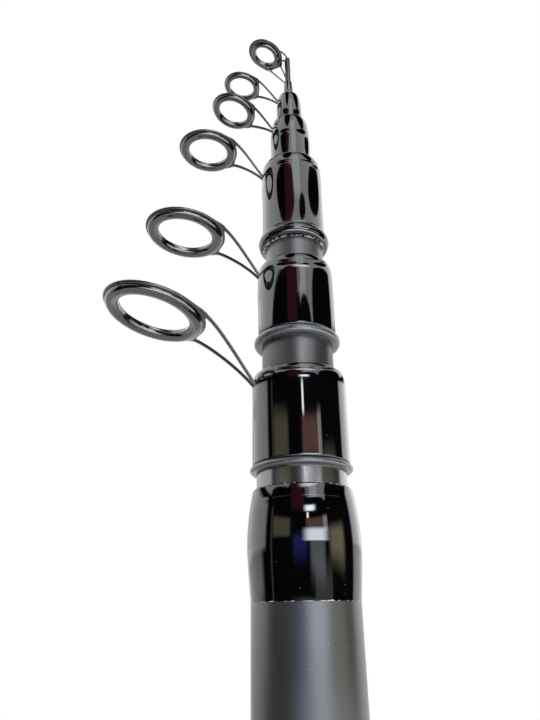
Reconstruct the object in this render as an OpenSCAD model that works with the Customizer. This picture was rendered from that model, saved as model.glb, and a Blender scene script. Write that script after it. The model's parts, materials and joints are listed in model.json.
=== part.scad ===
// Telescopic fishing rod, closed, seven sections.
// The rod axis is Z, the butt end is at the origin and the tip points up.
// The guides and the reel foot face -X. Millimetres.

/* [Butt section] */
// Length of the butt section, from the butt end to the mouth of its collar
butt_length = 559.2; // [480:0.2:760]
// Outside diameter of the butt blank at its top
butt_top_od = 25.2; // [24.8:0.1:27]
// Outside diameter of the butt blank at its base
butt_base_od = 26.6; // [26.3:0.1:28]
// Wall of the butt blank
butt_wall = 1.2; // [1:0.05:1.3]
// Length of the gloss collar at the mouth
collar_length = 25; // [18:0.5:35]
// Height of the collar's belly over the blank
collar_belly = 0.9; // [0.5:0.05:2]
// Distance from the collar's lower edge to its belly
collar_belly_height = 12; // [6:0.5:14]
// Length of the collar's lip past the end of the blank
collar_lip = 3; // [2:0.25:5]
// Wall of the collar's lip at its rim
collar_rim_wall = 0.65; // [0.4:0.05:1]

/* [Section 2] */
// Gap all round between the top of the blank and the mouth that it slides out of
s2_mouth_gap = 0.27; // [0.2:0.01:0.6]
// Wall of the blank
s2_wall = 1.1; // [0.9:0.05:1.3]
// Bare blank left between the mouth below and the stop ring
s2_band = 4.1; // [1:0.1:12]
// Height of the stop ring over the blank
s2_stop_height = 1.6; // [1.3:0.05:2.5]
// Length of the stop ring
s2_stop_length = 1.8; // [1.5:0.1:6]
// Thickness of the gloss wrap over the blank
s2_wrap_thickness = 1.05; // [0.95:0.05:1.3]
// Length of the gloss wrap
s2_wrap_length = 23.6; // [18:0.1:40]
// Length of the rounded top of the wrap
s2_wrap_shoulder = 4.5; // [1:0.25:6]
// Length left inside the section below when pulled out
s2_overlap = 55; // [40:1:90]
// Outside diameter of the guide's eye
s2_eye_od = 27; // [22:0.25:32]
// Inside diameter of the guide's ring
s2_eye_bore = 18.6; // [12:0.2:20]
// Distance from the rod axis to the centre of the eye
s2_eye_reach = 38.4; // [32:0.2:46]
// Height of the eye's centre over the point where the legs leave the wrap
s2_eye_rise = 16.3; // [10:0.1:22]
// Lean of the eye, outer edge towards the tip
s2_eye_tilt = 14; // [0:0.5:20]
// Depth below the top of the wrap at which the legs leave it
s2_foot_drop = 2.4; // [1.5:0.1:5]
// Sheet thickness of the guide frame
s2_gauge = 0.9; // [0.6:0.05:1.1]
// Length of the foot under the wrap
s2_foot_length = 14; // [8:0.5:16]
// Turn of the section about the rod axis
s2_turn = 0; // [-30:1:30]

/* [Section 3] */
// Gap all round between the top of the blank and the mouth that it slides out of
s3_mouth_gap = 0.62; // [0.3:0.01:0.9]
// Wall of the blank
s3_wall = 1.0; // [0.8:0.05:1.2]
// Bare blank left between the mouth below and the stop ring
s3_band = 8.3; // [1:0.1:12]
// Height of the stop ring over the blank
s3_stop_height = 2.1; // [1.5:0.05:3]
// Length of the stop ring
s3_stop_length = 2.7; // [2:0.1:8]
// Thickness of the gloss wrap over the blank
s3_wrap_thickness = 1.1; // [0.9:0.05:1.3]
// Length of the gloss wrap
s3_wrap_length = 21.5; // [18:0.1:40]
// Length of the rounded top of the wrap
s3_wrap_shoulder = 5; // [1:0.25:6]
// Length left inside the section below when pulled out
s3_overlap = 52; // [40:1:90]
// Outside diameter of the guide's eye
s3_eye_od = 22.2; // [18:0.2:26]
// Inside diameter of the guide's ring
s3_eye_bore = 14.9; // [10:0.1:16]
// Distance from the rod axis to the centre of the eye
s3_eye_reach = 31.2; // [26:0.2:38]
// Height of the eye's centre over the point where the legs leave the wrap
s3_eye_rise = 10.7; // [6:0.1:16]
// Lean of the eye, outer edge towards the tip
s3_eye_tilt = 7; // [0:0.5:20]
// Depth below the top of the wrap at which the legs leave it
s3_foot_drop = 2.6; // [1.5:0.1:5]
// Sheet thickness of the guide frame
s3_gauge = 0.8; // [0.5:0.05:1]
// Length of the foot under the wrap
s3_foot_length = 12; // [8:0.5:14]
// Turn of the section about the rod axis
s3_turn = -4; // [-30:1:30]

/* [Section 4] */
// Gap all round between the top of the blank and the mouth that it slides out of
s4_mouth_gap = 0.3; // [0.2:0.01:0.6]
// Wall of the blank
s4_wall = 0.95; // [0.7:0.05:1.2]
// Bare blank left between the mouth below and the stop ring
s4_band = 6.5; // [1:0.1:12]
// Height of the stop ring over the blank
s4_stop_height = 1.95; // [1.3:0.05:2.5]
// Length of the stop ring
s4_stop_length = 4; // [3:0.1:9]
// Thickness of the gloss wrap over the blank
s4_wrap_thickness = 0.8; // [0.75:0.05:1.2]
// Length of the gloss wrap
s4_wrap_length = 25.1; // [18:0.1:40]
// Length of the rounded top of the wrap
s4_wrap_shoulder = 5; // [1:0.25:6]
// Length left inside the section below when pulled out
s4_overlap = 50; // [40:1:90]
// Outside diameter of the guide's eye
s4_eye_od = 17.6; // [14:0.2:21]
// Inside diameter of the guide's ring
s4_eye_bore = 11.5; // [8:0.1:12.5]
// Distance from the rod axis to the centre of the eye
s4_eye_reach = 25.4; // [22:0.2:32]
// Height of the eye's centre over the point where the legs leave the wrap
s4_eye_rise = 8.2; // [5:0.1:14]
// Lean of the eye, outer edge towards the tip
s4_eye_tilt = 4; // [0:0.5:20]
// Depth below the top of the wrap at which the legs leave it
s4_foot_drop = 2.9; // [1.5:0.1:5]
// Sheet thickness of the guide frame
s4_gauge = 0.7; // [0.4:0.05:0.8]
// Length of the foot under the wrap
s4_foot_length = 11; // [7:0.5:13]
// Turn of the section about the rod axis
s4_turn = -11; // [-30:1:30]

/* [Section 5] */
// Gap all round between the top of the blank and the mouth that it slides out of
s5_mouth_gap = 2.35; // [1.5:0.05:2.8]
// Wall of the blank
s5_wall = 0.85; // [0.6:0.05:1]
// Thickness of the gloss wrap over the blank
s5_wrap_thickness = 1.2; // [0.8:0.05:1.5]
// Length of the gloss wrap
s5_wrap_length = 17.5; // [14:0.5:30]
// Length of the rounded top of the wrap
s5_wrap_shoulder = 9; // [2:0.5:12]
// Length left inside the section below when pulled out
s5_overlap = 48; // [40:1:90]
// Outside diameter of the guide's eye
s5_eye_od = 13.8; // [11:0.2:17]
// Inside diameter of the guide's ring
s5_eye_bore = 9; // [6:0.1:9.8]
// Distance from the rod axis to the centre of the eye
s5_eye_reach = 17.9; // [16:0.1:24]
// Height of the eye's centre over the point where the legs leave the wrap
s5_eye_rise = 5.6; // [4:0.1:10]
// Lean of the eye, outer edge towards the tip
s5_eye_tilt = 14; // [0:0.5:20]
// Depth below the top of the wrap at which the legs leave it
s5_foot_drop = 2.4; // [1.5:0.1:5]
// Sheet thickness of the guide frame
s5_gauge = 0.6; // [0.4:0.05:0.7]
// Length of the foot under the wrap
s5_foot_length = 9; // [6:0.5:10]
// Turn of the section about the rod axis
s5_turn = -8; // [-30:1:30]

/* [Section 6] */
// Gap all round between the top of the blank and the mouth that it slides out of
s6_mouth_gap = 1.1; // [0.8:0.05:1.4]
// Wall of the blank
s6_wall = 0.8; // [0.5:0.05:0.9]
// Thickness of the gloss wrap over the blank
s6_wrap_thickness = 1.1; // [0.8:0.05:1.3]
// Length of the gloss wrap
s6_wrap_length = 11; // [10:0.5:20]
// Length of the rounded top of the wrap
s6_wrap_shoulder = 9; // [2:0.5:9.5]
// Length left inside the section below when pulled out
s6_overlap = 45; // [40:1:90]
// Outside diameter of the guide's eye
s6_eye_od = 11.6; // [9.5:0.1:14]
// Inside diameter of the guide's ring
s6_eye_bore = 7.7; // [5:0.1:8.4]
// Distance from the rod axis to the centre of the eye
s6_eye_reach = 15.2; // [13:0.1:20]
// Height of the eye's centre over the point where the legs leave the wrap
s6_eye_rise = 6.1; // [4:0.1:9]
// Lean of the eye, outer edge towards the tip
s6_eye_tilt = 8; // [0:0.5:20]
// Depth below the top of the wrap at which the legs leave it
s6_foot_drop = 1.4; // [1:0.1:4]
// Sheet thickness of the guide frame
s6_gauge = 0.55; // [0.35:0.05:0.65]
// Length of the foot under the wrap
s6_foot_length = 7; // [5:0.5:7.5]
// Turn of the section about the rod axis
s6_turn = -15; // [-30:1:30]

/* [Tip section] */
// Outside diameter of the solid tip at its top
tip_end_od = 1.2; // [0.8:0.05:1.4]
// Length left inside the section below when pulled out
tip_overlap = 42; // [40:1:90]
// Length of the tip-top's tube
tube_length = 14.5; // [10:0.5:20]
// Wall of the tip-top's tube
tube_wall = 0.32; // [0.25:0.01:0.5]
// Thickness of the small wrap over the tube
tip_wrap_thickness = 0.5; // [0.3:0.05:0.9]
// Length of the small wrap
tip_wrap_length = 6.5; // [3:0.1:8]
// Outside diameter of the tip-top's eye
tip_eye_od = 11.8; // [9:0.1:13]
// Inside diameter of the tip-top's ring
tip_eye_bore = 6.6; // [4.5:0.1:7.4]
// Distance from the rod axis to the centre of the eye
tip_eye_reach = 7.4; // [7:0.1:10]
// Height of the eye's centre over the end of the tube
tip_eye_rise = 5.2; // [3:0.1:8]
// Lean of the eye, outer edge towards the tip
tip_eye_tilt = 19; // [0:0.5:30]
// Height over the wrap at which the lower leg meets the tube
tip_leg_height = 0.6; // [0.4:0.1:2]
// Height of the upper leg's foot over the lower leg's foot
tip_leg_step = 2.2; // [0:0.1:4]
// Turn of the pair of legs round the eye, from the side that faces the rod
tip_leg_turn = 56; // [30:1:60]
// Half angle between the tip-top's two legs at the eye
tip_leg_spread = 26; // [15:1:30]
// Turn of the arched brace round the eye, the other way
tip_arch_turn = 24; // [10:1:40]
// Share of the tip-top eye's rim that is covered by its ring's flange
tip_flange_share = 0.56; // [0.5:0.02:0.6]
// Sheet thickness of the tip-top frame
tip_gauge = 0.55; // [0.35:0.05:0.65]
// Turn of the section about the rod axis
tip_turn = -20; // [-30:1:30]

/* [Guides] */
// Width of a guide leg, in sheet thicknesses
leg_width_gauges = 1.5; // [1.2:0.05:2]
// Half angle between the two legs at the eye
leg_spread = 36; // [15:1:40]
// Depth of a ring below its frame, in sheet thicknesses
ring_depth_gauges = 1.7; // [1.2:0.1:2.5]
// Share of the eye's rim that is covered by the ring's flange
ring_flange_share = 0.84; // [0.7:0.02:0.9]
// Share of the eye's rim that is the ring's neck
ring_neck_share = 0.42; // [0.3:0.02:0.55]

/* [Handle] */
// Height of the top of the rear grip
rear_grip_top = 200; // [160:5:240]
// Wall of the rear grip over the butt blank at its lower end
rear_grip_wall = 2.2; // [1.9:0.1:5]
// Length of the trim ring over the rear grip
trim_ring_length = 3; // [2:0.5:6]
// Wall of the trim ring
trim_ring_wall = 1.7; // [1.2:0.1:2.4]
// Length of the fore grip
fore_grip_length = 70; // [50:5:100]
// Wall of the fore grip over the butt blank at its lower end
fore_grip_wall = 4.1; // [3:0.1:6]
// Wall of the fore grip over the butt blank at its upper end
fore_grip_top_wall = 1.9; // [1.7:0.1:3]
// Length of the winding check over the fore grip
check_length = 6; // [4:0.5:10]
// Wall of the winding check at its lower end
check_wall = 1.3; // [1:0.1:1.8]
// Radius of the rounded grip edges
grip_round = 2; // [0.5:0.25:2]

/* [Reel seat] */
// Length of the reel seat body
seat_length = 122; // [110:1:140]
// Wall of the reel seat body at its core
seat_wall = 1.9; // [1.6:0.1:2.6]
// Height of the thread crests over the core
thread_height = 0.5; // [0.3:0.05:0.8]
// Thread pitch of the lock nut
seat_pitch = 2; // [1.5:0.25:3]
// Length of the threaded end
thread_length = 38; // [34:1:46]
// Height of the reel foot bed over the core
bed_height = 2; // [1:0.1:2.5]
// Width of the reel foot bed
bed_width = 15; // [12:0.5:16]
// Wall of the two hoods
hood_wall = 1.9; // [1.5:0.1:2.5]
// Height of the pocket under a hood, over the core
pocket_height = 8; // [7:0.1:10]
// Half width of a hood's pocket
pocket_radius = 9.5; // [9.3:0.1:11]
// Length of the fixed hood
fixed_hood_length = 26; // [22:0.5:30]
// Length of the sliding hood
sliding_hood_length = 20; // [17:0.5:22]
// Depth of a hood's pocket
pocket_depth = 15; // [10:0.5:16]
// Length of the lock nut
nut_length = 11; // [8:0.5:12]
// Wall of the lock nut
nut_wall = 2.8; // [2.2:0.1:3.5]
// Number of grip flutes on the lock nut
nut_flutes = 18; // [12:1:24]
// Room left above the lock nut in the pose as shown
nut_room = 7; // [6:0.5:8]

/* [Butt cap] */
// Wall of the butt cap round its thread
cap_wall = 0.97; // [0.8:0.01:1.6]
// Height of the butt cap
cap_height = 18; // [14:0.5:24]
// Thickness of the cap's floor
cap_floor = 4; // [2.5:0.25:6]
// Thickness of the cap's gasket
gasket_thickness = 2; // [1:0.25:3]
// Height of the bumper pad over the cap's floor
pad_height = 6; // [4:0.5:9]
// Wall of the threaded ferrule
ferrule_wall = 0.9; // [0.7:0.05:1]
// Length of the ferrule's flange, above the cap
flange_length = 2; // [1:0.25:4]
// Number of grip flutes round the cap
cap_flutes = 24; // [12:1:36]

/* [Fits] */
// Gap all round between two bonded pieces
glue = 0.03; // [0.02:0.005:0.05]
// Gap all round where a section jams when pulled out
seat_clear = 0.06; // [0.05:0.005:0.1]
// Gap all round of the lock nut, the sliding hood and the cap on their threads
thread_clear = 0.1; // [0.08:0.01:0.2]
// Gap between two pieces that meet end to end but move apart
end_clear = 0.3; // [0.2:0.05:0.4]
// Gap all round between the bumper pad and the butt blank
pad_clear = 0.4; // [0.2:0.05:0.6]

/* [Hidden] */
$fn = 64;
BUTT_INDEX = 1;
LAST_TUBE_INDEX = 6;
TIP_INDEX = 7;
ARC_STEPS = 6;
LEG_STEPS = 10;
LEG_SIDES = 8;
// Length by which a cut runs past the face that it opens
cut = 1;

// Values of each section by its number, counted from the butt. Index 0 is unused.
mouth_gap = [0, 0, s2_mouth_gap, s3_mouth_gap, s4_mouth_gap, s5_mouth_gap, s6_mouth_gap, 0];
wall = [0, butt_wall, s2_wall, s3_wall, s4_wall, s5_wall, s6_wall, 0];
band = [0, 0, s2_band, s3_band, s4_band, end_clear, end_clear, end_clear];
stop_height = [0, 0, s2_stop_height, s3_stop_height, s4_stop_height, 0, 0, 0];
stop_length = [0, 0, s2_stop_length, s3_stop_length, s4_stop_length, 0, 0, 0];
wrap_thickness = [0, 0, s2_wrap_thickness, s3_wrap_thickness, s4_wrap_thickness,
                  s5_wrap_thickness, s6_wrap_thickness, 0];
wrap_length = [0, 0, s2_wrap_length, s3_wrap_length, s4_wrap_length, s5_wrap_length, s6_wrap_length, 0];
wrap_shoulder = [0, 0, s2_wrap_shoulder, s3_wrap_shoulder, s4_wrap_shoulder,
                 s5_wrap_shoulder, s6_wrap_shoulder, 0];
overlap = [0, 0, s2_overlap, s3_overlap, s4_overlap, s5_overlap, s6_overlap, tip_overlap];
eye_od = [0, 0, s2_eye_od, s3_eye_od, s4_eye_od, s5_eye_od, s6_eye_od, tip_eye_od];
eye_bore = [0, 0, s2_eye_bore, s3_eye_bore, s4_eye_bore, s5_eye_bore, s6_eye_bore, tip_eye_bore];
eye_reach = [0, 0, s2_eye_reach, s3_eye_reach, s4_eye_reach, s5_eye_reach, s6_eye_reach, tip_eye_reach];
eye_rise = [0, 0, s2_eye_rise, s3_eye_rise, s4_eye_rise, s5_eye_rise, s6_eye_rise, tip_eye_rise];
eye_tilt = [0, 0, s2_eye_tilt, s3_eye_tilt, s4_eye_tilt, s5_eye_tilt, s6_eye_tilt, tip_eye_tilt];
foot_drop = [0, 0, s2_foot_drop, s3_foot_drop, s4_foot_drop, s5_foot_drop, s6_foot_drop, 0];
foot_length = [0, 0, s2_foot_length, s3_foot_length, s4_foot_length, s5_foot_length, s6_foot_length, 0];
gauge = [0, 0, s2_gauge, s3_gauge, s4_gauge, s5_gauge, s6_gauge, tip_gauge];
turn = [0, 0, s2_turn, s3_turn, s4_turn, s5_turn, s6_turn, tip_turn];

// Ratios that shape the collar, the wraps and the guides
collar_foot_power = 1.3;
collar_mouth_power = 2.5;
wrap_end_share = 0.2;
stop_core_share = 1 / 3;
foot_thickness_gauges = 0.5;
foot_width_legs = 2;
foot_point_half_widths = 3;
leg_thickness_gauges = 0.75;
leg_foot_width_share = 0.85;
leg_eye_pull = 0.2;
leg_foot_pull = 0.3;
leg_foot_way = [0.6, 0, 0.8];
ring_top_gauges = 1.25;
ring_lead_share = 0.28;
tip_wrap_flare = 1.3;
tip_wrap_top_share = 0.8;
tip_leg_foot_share = 0.7;
tip_leg_gauges = 0.8;
arch_height = 1.1;
arch_eye_pull = [-0.57, 0.29, 0.36];
bar_turn_share = 2 / 3;
brace_gauges = 0.8;

// Heights along the rod
butt_base_z = cap_floor + gasket_thickness;
pad_top_z = cap_floor + pad_height;
flange_z = cap_height + end_clear;
rear_grip_z = flange_z + flange_length;
seat_z = rear_grip_top + trim_ring_length;
seat_top_z = seat_z + seat_length;
thread_z = seat_top_z - thread_length;
nut_z = seat_top_z - nut_room - nut_length;
sliding_hood_z = nut_z - end_clear - sliding_hood_length;
bed_z = seat_z + fixed_hood_length - pocket_depth;
check_z = seat_top_z + fore_grip_length;
collar_z = butt_length - collar_length;
tube_z = top_z(LAST_TUBE_INDEX) + end_clear;
tube_end_z = tube_z + tube_length;

// Blanks: straight cones. Each base just fits the mouth that it jams in when pulled out.
function base_z(k) = k == BUTT_INDEX ? butt_base_z : pad_top_z;
function top_z(k) = k == BUTT_INDEX ? butt_length
  : k == TIP_INDEX ? tube_end_z - tube_wall
  : top_z(k - 1) + band[k] + stop_length[k] + wrap_length[k];
function end_z(k) = k == BUTT_INDEX ? butt_length - collar_lip : top_z(k);
function length_of(k) = end_z(k) - base_z(k);
function top_od(k) = k == BUTT_INDEX ? butt_top_od
  : k == TIP_INDEX ? tip_end_od
  : top_od(k - 1) - 2 * wall[k - 1] - 2 * mouth_gap[k];
function bore_at(k, z) = od_at(k, z) - 2 * wall[k];
function od_at(k, z) = top_od(k) + (base_od(k) - top_od(k)) * (end_z(k) - z) / length_of(k);
function jam_at_mouth(k, share) =
  (bore_at(k - 1, end_z(k - 1)) - 2 * seat_clear - top_od(k) * share) / (1 - share);
function jam_at_base(k) = bore_at(k - 1, end_z(k - 1) - overlap[k]) - 2 * seat_clear;
function base_od(k) = k == BUTT_INDEX ? butt_base_od
  : min(jam_at_base(k), jam_at_mouth(k, overlap[k] / length_of(k)));
function stop_z(k) = top_z(k) - wrap_length[k] - stop_length[k];
function wrap_z(k) = top_z(k) - wrap_length[k];

// Guides
function foot_z(k) = top_z(k) - foot_drop[k];
function eye_z(k) = (k == TIP_INDEX ? tube_end_z : foot_z(k)) + eye_rise[k];
function rim(k) = (eye_od[k] - eye_bore[k]) / 2;
function neck_r(k) = eye_bore[k] / 2 + rim(k) * ring_neck_share;
function flange_share(k) = k == TIP_INDEX ? tip_flange_share : ring_flange_share;
function flange_r(k) = eye_bore[k] / 2 + rim(k) * flange_share(k);
function foot_thickness(k) = foot_thickness_gauges * gauge[k];
function foot_width(k) = foot_width_legs * leg_width(k);
function leg_width(k) = leg_width_gauges * gauge[k];
function leg_thickness(k) = leg_thickness_gauges * gauge[k];
function notch_z(k) = foot_z(k) - leg_width(k) - leg_thickness(k);
function foot_r(k) = od_at(k, foot_z(k) - foot_length[k]) / 2 + glue;

// Curves
function arc(centre, radius, from, to) =
  [for (i = [0:ARC_STEPS]) centre + [radius[0] * cos(from + (to - from) * i / ARC_STEPS),
                                     radius[1] * sin(from + (to - from) * i / ARC_STEPS)]];
// Outline from an edge to the fullest point of a barrel, flattening by a power of the distance left
function swell(edge, full, power) =
  [for (i = [0:ARC_STEPS])
    let (t = i / ARC_STEPS, left = pow(1 - t, power))
    [full[0] - (full[0] - edge[0]) * left, edge[1] + (full[1] - edge[1]) * t]];
function backwards(points) = [for (i = [len(points) - 1:-1:0]) points[i]];
function bezier(a, b, c, d, t) =
  pow(1 - t, 3) * a + 3 * t * pow(1 - t, 2) * b + 3 * t * t * (1 - t) * c + pow(t, 3) * d;
function bezier_slope(a, b, c, d, t) =
  pow(1 - t, 2) * (b - a) + 2 * t * (1 - t) * (c - b) + t * t * (d - c);
function unit(v) = v / norm(v);
function between(a, b, share) = a + (b - a) * share;

// Strip with an oval section, swept along a curve that starts at a and ends at d
module swept_strip(a, b, c, d, width_a, width_d, thick) {
  across = unit(cross(d - a, [0, 1, 0]));
  rings = [for (i = [0:LEG_STEPS])
    let (t = i / LEG_STEPS, along = unit(bezier_slope(a, b, c, d, t)),
         side = unit(cross(across, along)), up = cross(along, side),
         half = (width_a + (width_d - width_a) * t) / 2)
    for (j = [0:LEG_SIDES - 1])
      let (q = 360 * j / LEG_SIDES)
      bezier(a, b, c, d, t) + side * half * cos(q) + up * thick / 2 * sin(q)];
  walls = [for (i = [0:LEG_STEPS - 1], j = [0:LEG_SIDES - 1])
    let (n = (j + 1) % LEG_SIDES, low = i * LEG_SIDES, high = low + LEG_SIDES)
    each [[low + j, high + j, high + n], [low + j, high + n, low + n]]];
  ends = [for (j = [1:LEG_SIDES - 2])
    let (last = LEG_STEPS * LEG_SIDES)
    each [[0, j, j + 1], [last, last + j + 1, last + j]]];
  polyhedron(rings, concat(walls, ends), convexity = 4);
}

// Taper of section k between two heights, grown all round by grow
module blank_cone(k, from, to, grow) {
  translate([0, 0, from])
    cylinder(h = to - from, d1 = od_at(k, from) + 2 * grow, d2 = od_at(k, to) + 2 * grow);
}

// Room for the blank of section k in a piece that is fitted round it between two heights
module blank_room(k, from, to) blank_cone(k, from - cut, to + cut, glue);

module blank_tube(k) {
  difference() {
    blank_cone(k, base_z(k), end_z(k), 0);
    blank_cone(k, base_z(k) - cut, end_z(k) + cut, -wall[k]);
  }
}

// Butt section
module butt_blank() color([0.21, 0.22, 0.24]) blank_tube(BUTT_INDEX);

module butt_collar() {
  low_r = od_at(BUTT_INDEX, collar_z) / 2;
  belly_r = low_r + collar_belly;
  belly_z = collar_z + collar_belly_height;
  mouth_r = bore_at(BUTT_INDEX, end_z(BUTT_INDEX)) / 2 + glue;
  rim_r = mouth_r + collar_rim_wall;
  color([0.04, 0.04, 0.05]) difference() {
    rotate_extrude() polygon(concat(
      [[0, butt_length], [0, collar_z]],
      swell([low_r + 2 * glue, collar_z], [belly_r, belly_z], collar_foot_power),
      backwards(swell([rim_r, butt_length], [belly_r, belly_z], collar_mouth_power))));
    blank_cone(BUTT_INDEX, collar_z - cut, end_z(BUTT_INDEX), glue);
    translate([0, 0, collar_z]) cylinder(h = collar_length + cut, r = mouth_r);
  }
}

// Radius that a grip is glued on at a height
function grip_seat_r(z) = od_at(BUTT_INDEX, z) / 2 + glue;

// Turned grip with rounded edges, cut to the butt blank
module grip(from, to, low_r, high_r) {
  difference() {
    rotate_extrude() polygon(concat(
      [[0, to], [0, from]],
      arc([low_r - grip_round, from + grip_round], [grip_round, grip_round], -90, 0),
      arc([high_r - grip_round, to - grip_round], [grip_round, grip_round], 0, 90)));
    blank_room(BUTT_INDEX, from, to);
  }
}

module rear_grip() {
  grip_r = grip_seat_r(rear_grip_z) + rear_grip_wall;
  color([0.09, 0.09, 0.1]) grip(rear_grip_z, rear_grip_top, grip_r, grip_r);
}

module fore_grip() {
  color([0.09, 0.09, 0.1])
    grip(seat_top_z, check_z, grip_seat_r(seat_top_z) + fore_grip_wall,
         grip_seat_r(check_z) + fore_grip_top_wall);
}

module trim_ring() {
  color([0.5, 0.52, 0.55]) difference() {
    translate([0, 0, rear_grip_top])
      cylinder(h = trim_ring_length, r = od_at(BUTT_INDEX, rear_grip_top) / 2 + glue + trim_ring_wall);
    blank_room(BUTT_INDEX, rear_grip_top, seat_z);
  }
}

module winding_check() {
  top = check_z + check_length;
  color([0.5, 0.52, 0.55]) difference() {
    translate([0, 0, check_z])
      cylinder(h = check_length, d1 = od_at(BUTT_INDEX, check_z) + 2 * check_wall,
               d2 = od_at(BUTT_INDEX, top) + check_wall);
    blank_room(BUTT_INDEX, check_z, top);
  }
}

// Reel seat
seat_r = od_at(BUTT_INDEX, seat_z) / 2 + glue + seat_wall;
crest_r = seat_r + thread_height;
slide_r = crest_r + thread_clear;
pocket_x = seat_r + pocket_height - pocket_radius;

module reel_seat_body() {
  crests = floor((thread_length - seat_pitch) / seat_pitch);
  thread = [for (i = [0:crests - 1])
    let (z = thread_z + seat_pitch * (i + 0.5))
    each [[seat_r, z], [crest_r, z + seat_pitch / 3], [crest_r, z + seat_pitch * 2 / 3]]];
  color([0.12, 0.12, 0.13]) difference() {
    union() {
      rotate_extrude() polygon(concat(
        [[0, seat_z], [seat_r, seat_z]], thread, [[seat_r, seat_top_z], [0, seat_top_z]]));
      translate([-seat_r - bed_height, -bed_width / 2, bed_z])
        cube([seat_r + bed_height, bed_width, thread_z - bed_z]);
    }
    blank_room(BUTT_INDEX, seat_z, seat_top_z);
  }
}

// Hood round the seat: a sleeve with a humped pocket, open at one end, for one end of the reel foot
module hood(from, length, bore_r, pocket_from) {
  difference() {
    union() {
      translate([0, 0, from]) cylinder(h = length, r = bore_r + hood_wall);
      translate([-pocket_x, 0, from]) cylinder(h = length, r = pocket_radius + hood_wall);
    }
    translate([0, 0, from - cut]) cylinder(h = length + 2 * cut, r = bore_r);
    translate([-pocket_x, 0, pocket_from]) cylinder(h = pocket_depth + cut, r = pocket_radius);
  }
}

module fixed_hood() {
  color([0.3, 0.31, 0.33])
    hood(seat_z, fixed_hood_length, seat_r + glue, seat_z + fixed_hood_length - pocket_depth);
}

module sliding_hood() {
  color([0.3, 0.31, 0.33]) hood(sliding_hood_z, sliding_hood_length, slide_r, sliding_hood_z - cut);
}

// Ring with flutes cut round its outside
module fluted_ring(from, length, bore_r, outer_r, flutes) {
  flute_r = PI * outer_r / flutes / 2;
  difference() {
    translate([0, 0, from]) cylinder(h = length, r = outer_r);
    translate([0, 0, from - cut]) cylinder(h = length + 2 * cut, r = bore_r);
    for (i = [0:flutes - 1]) rotate([0, 0, 360 * i / flutes])
      translate([outer_r + flute_r / 2, 0, from + length / 6]) cylinder(h = length * 2 / 3, r = flute_r);
  }
}

module lock_nut() {
  color([0.3, 0.31, 0.33]) fluted_ring(nut_z, nut_length, slide_r, slide_r + nut_wall, nut_flutes);
}

// Butt end
ferrule_r = od_at(BUTT_INDEX, butt_base_z) / 2 + glue + ferrule_wall;
cap_bore_r = ferrule_r + thread_clear;
cap_od = 2 * (cap_bore_r + cap_wall);

module butt_ferrule() {
  color([0.35, 0.36, 0.38]) difference() {
    union() {
      translate([0, 0, butt_base_z]) cylinder(h = rear_grip_z - butt_base_z, r = ferrule_r);
      translate([0, 0, flange_z]) cylinder(h = flange_length, d = cap_od);
    }
    blank_room(BUTT_INDEX, butt_base_z, rear_grip_z);
  }
}

module butt_cap() {
  flute_r = PI * cap_od / cap_flutes / 4;
  color([0.08, 0.08, 0.085]) difference() {
    rotate_extrude() polygon(concat(
      [[0, cap_height], [0, 0]],
      arc([cap_od / 2 - grip_round, grip_round], [grip_round, grip_round], -90, 0),
      [[cap_od / 2, cap_height]]));
    translate([0, 0, cap_floor]) cylinder(h = cap_height - cap_floor + cut, r = cap_bore_r);
    for (i = [0:cap_flutes - 1]) rotate([0, 0, 360 * i / cap_flutes])
      translate([cap_od / 2 + flute_r * 3 / 4, 0, 2 * grip_round])
        cylinder(h = cap_height - 3 * grip_round, r = flute_r);
  }
}

module cap_gasket() {
  color([0.03, 0.03, 0.03]) translate([0, 0, cap_floor]) difference() {
    cylinder(h = gasket_thickness, r = ferrule_r);
    translate([0, 0, -cut]) cylinder(h = gasket_thickness + 2 * cut, d = bore_at(BUTT_INDEX, butt_base_z));
  }
}

module bumper_pad() {
  color([0.14, 0.14, 0.15]) translate([0, 0, cap_floor])
    cylinder(h = pad_height, d = bore_at(BUTT_INDEX, butt_base_z) - 2 * pad_clear);
}

// Sliding sections
module section_blank(k) color([0.21, 0.22, 0.24]) blank_tube(k);

module stop_ring(k) {
  mid = stop_z(k) + stop_length[k] / 2;
  core_r = od_at(k, mid) / 2 + stop_height[k] * stop_core_share;
  bead = [stop_height[k] * (1 - stop_core_share), stop_length[k] / 2];
  color([0.16, 0.16, 0.18]) difference() {
    rotate_extrude() polygon(concat(
      [[0, stop_z(k) + stop_length[k]], [0, stop_z(k)]],
      arc([core_r, mid], bead, -90, 90)));
    blank_room(k, stop_z(k), wrap_z(k));
  }
}

module guide_wrap(k) {
  top = top_z(k);
  shoulder = wrap_shoulder[k];
  end_r = od_at(k, top) / 2 + wrap_thickness[k] * wrap_end_share;
  outer_r = od_at(k, wrap_z(k)) / 2 + wrap_thickness[k];
  color([0.03, 0.03, 0.035]) difference() {
    rotate_extrude() polygon(concat(
      [[0, top], [0, wrap_z(k)], [outer_r, wrap_z(k)]],
      arc([end_r, top - shoulder], [outer_r - end_r, shoulder], 0, 90)));
    blank_room(k, wrap_z(k), top);
    aim(k) foot_blade(k, glue, wrap_length[k], wrap_thickness[k]);
    aim(k) leg_notch(k);
  }
}

// Turns a shape that is built towards +X to the side that the section's guide faces
module aim(k) rotate([0, 0, 180 + turn[k]]) children();

// Flat foot that lies on the blank under the wrap. The slot for it is the same blade, grown all round,
// carried up past the wrap and sunk into the blank.
module foot_blade(k, grow, above, sink) {
  half = foot_width(k) / 2 + grow;
  low = foot_z(k) - foot_length[k] - grow;
  full = low + foot_point_half_widths * half;
  high = foot_z(k) + above;
  translate([foot_r(k) - sink, 0, 0])
    rotate([90, 0, 90])
      linear_extrude(sink + foot_thickness(k) + grow)
        polygon([[-half / 2, low], [half / 2, low], [half, full],
                 [half, high], [-half, high], [-half, full]]);
}

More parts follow.
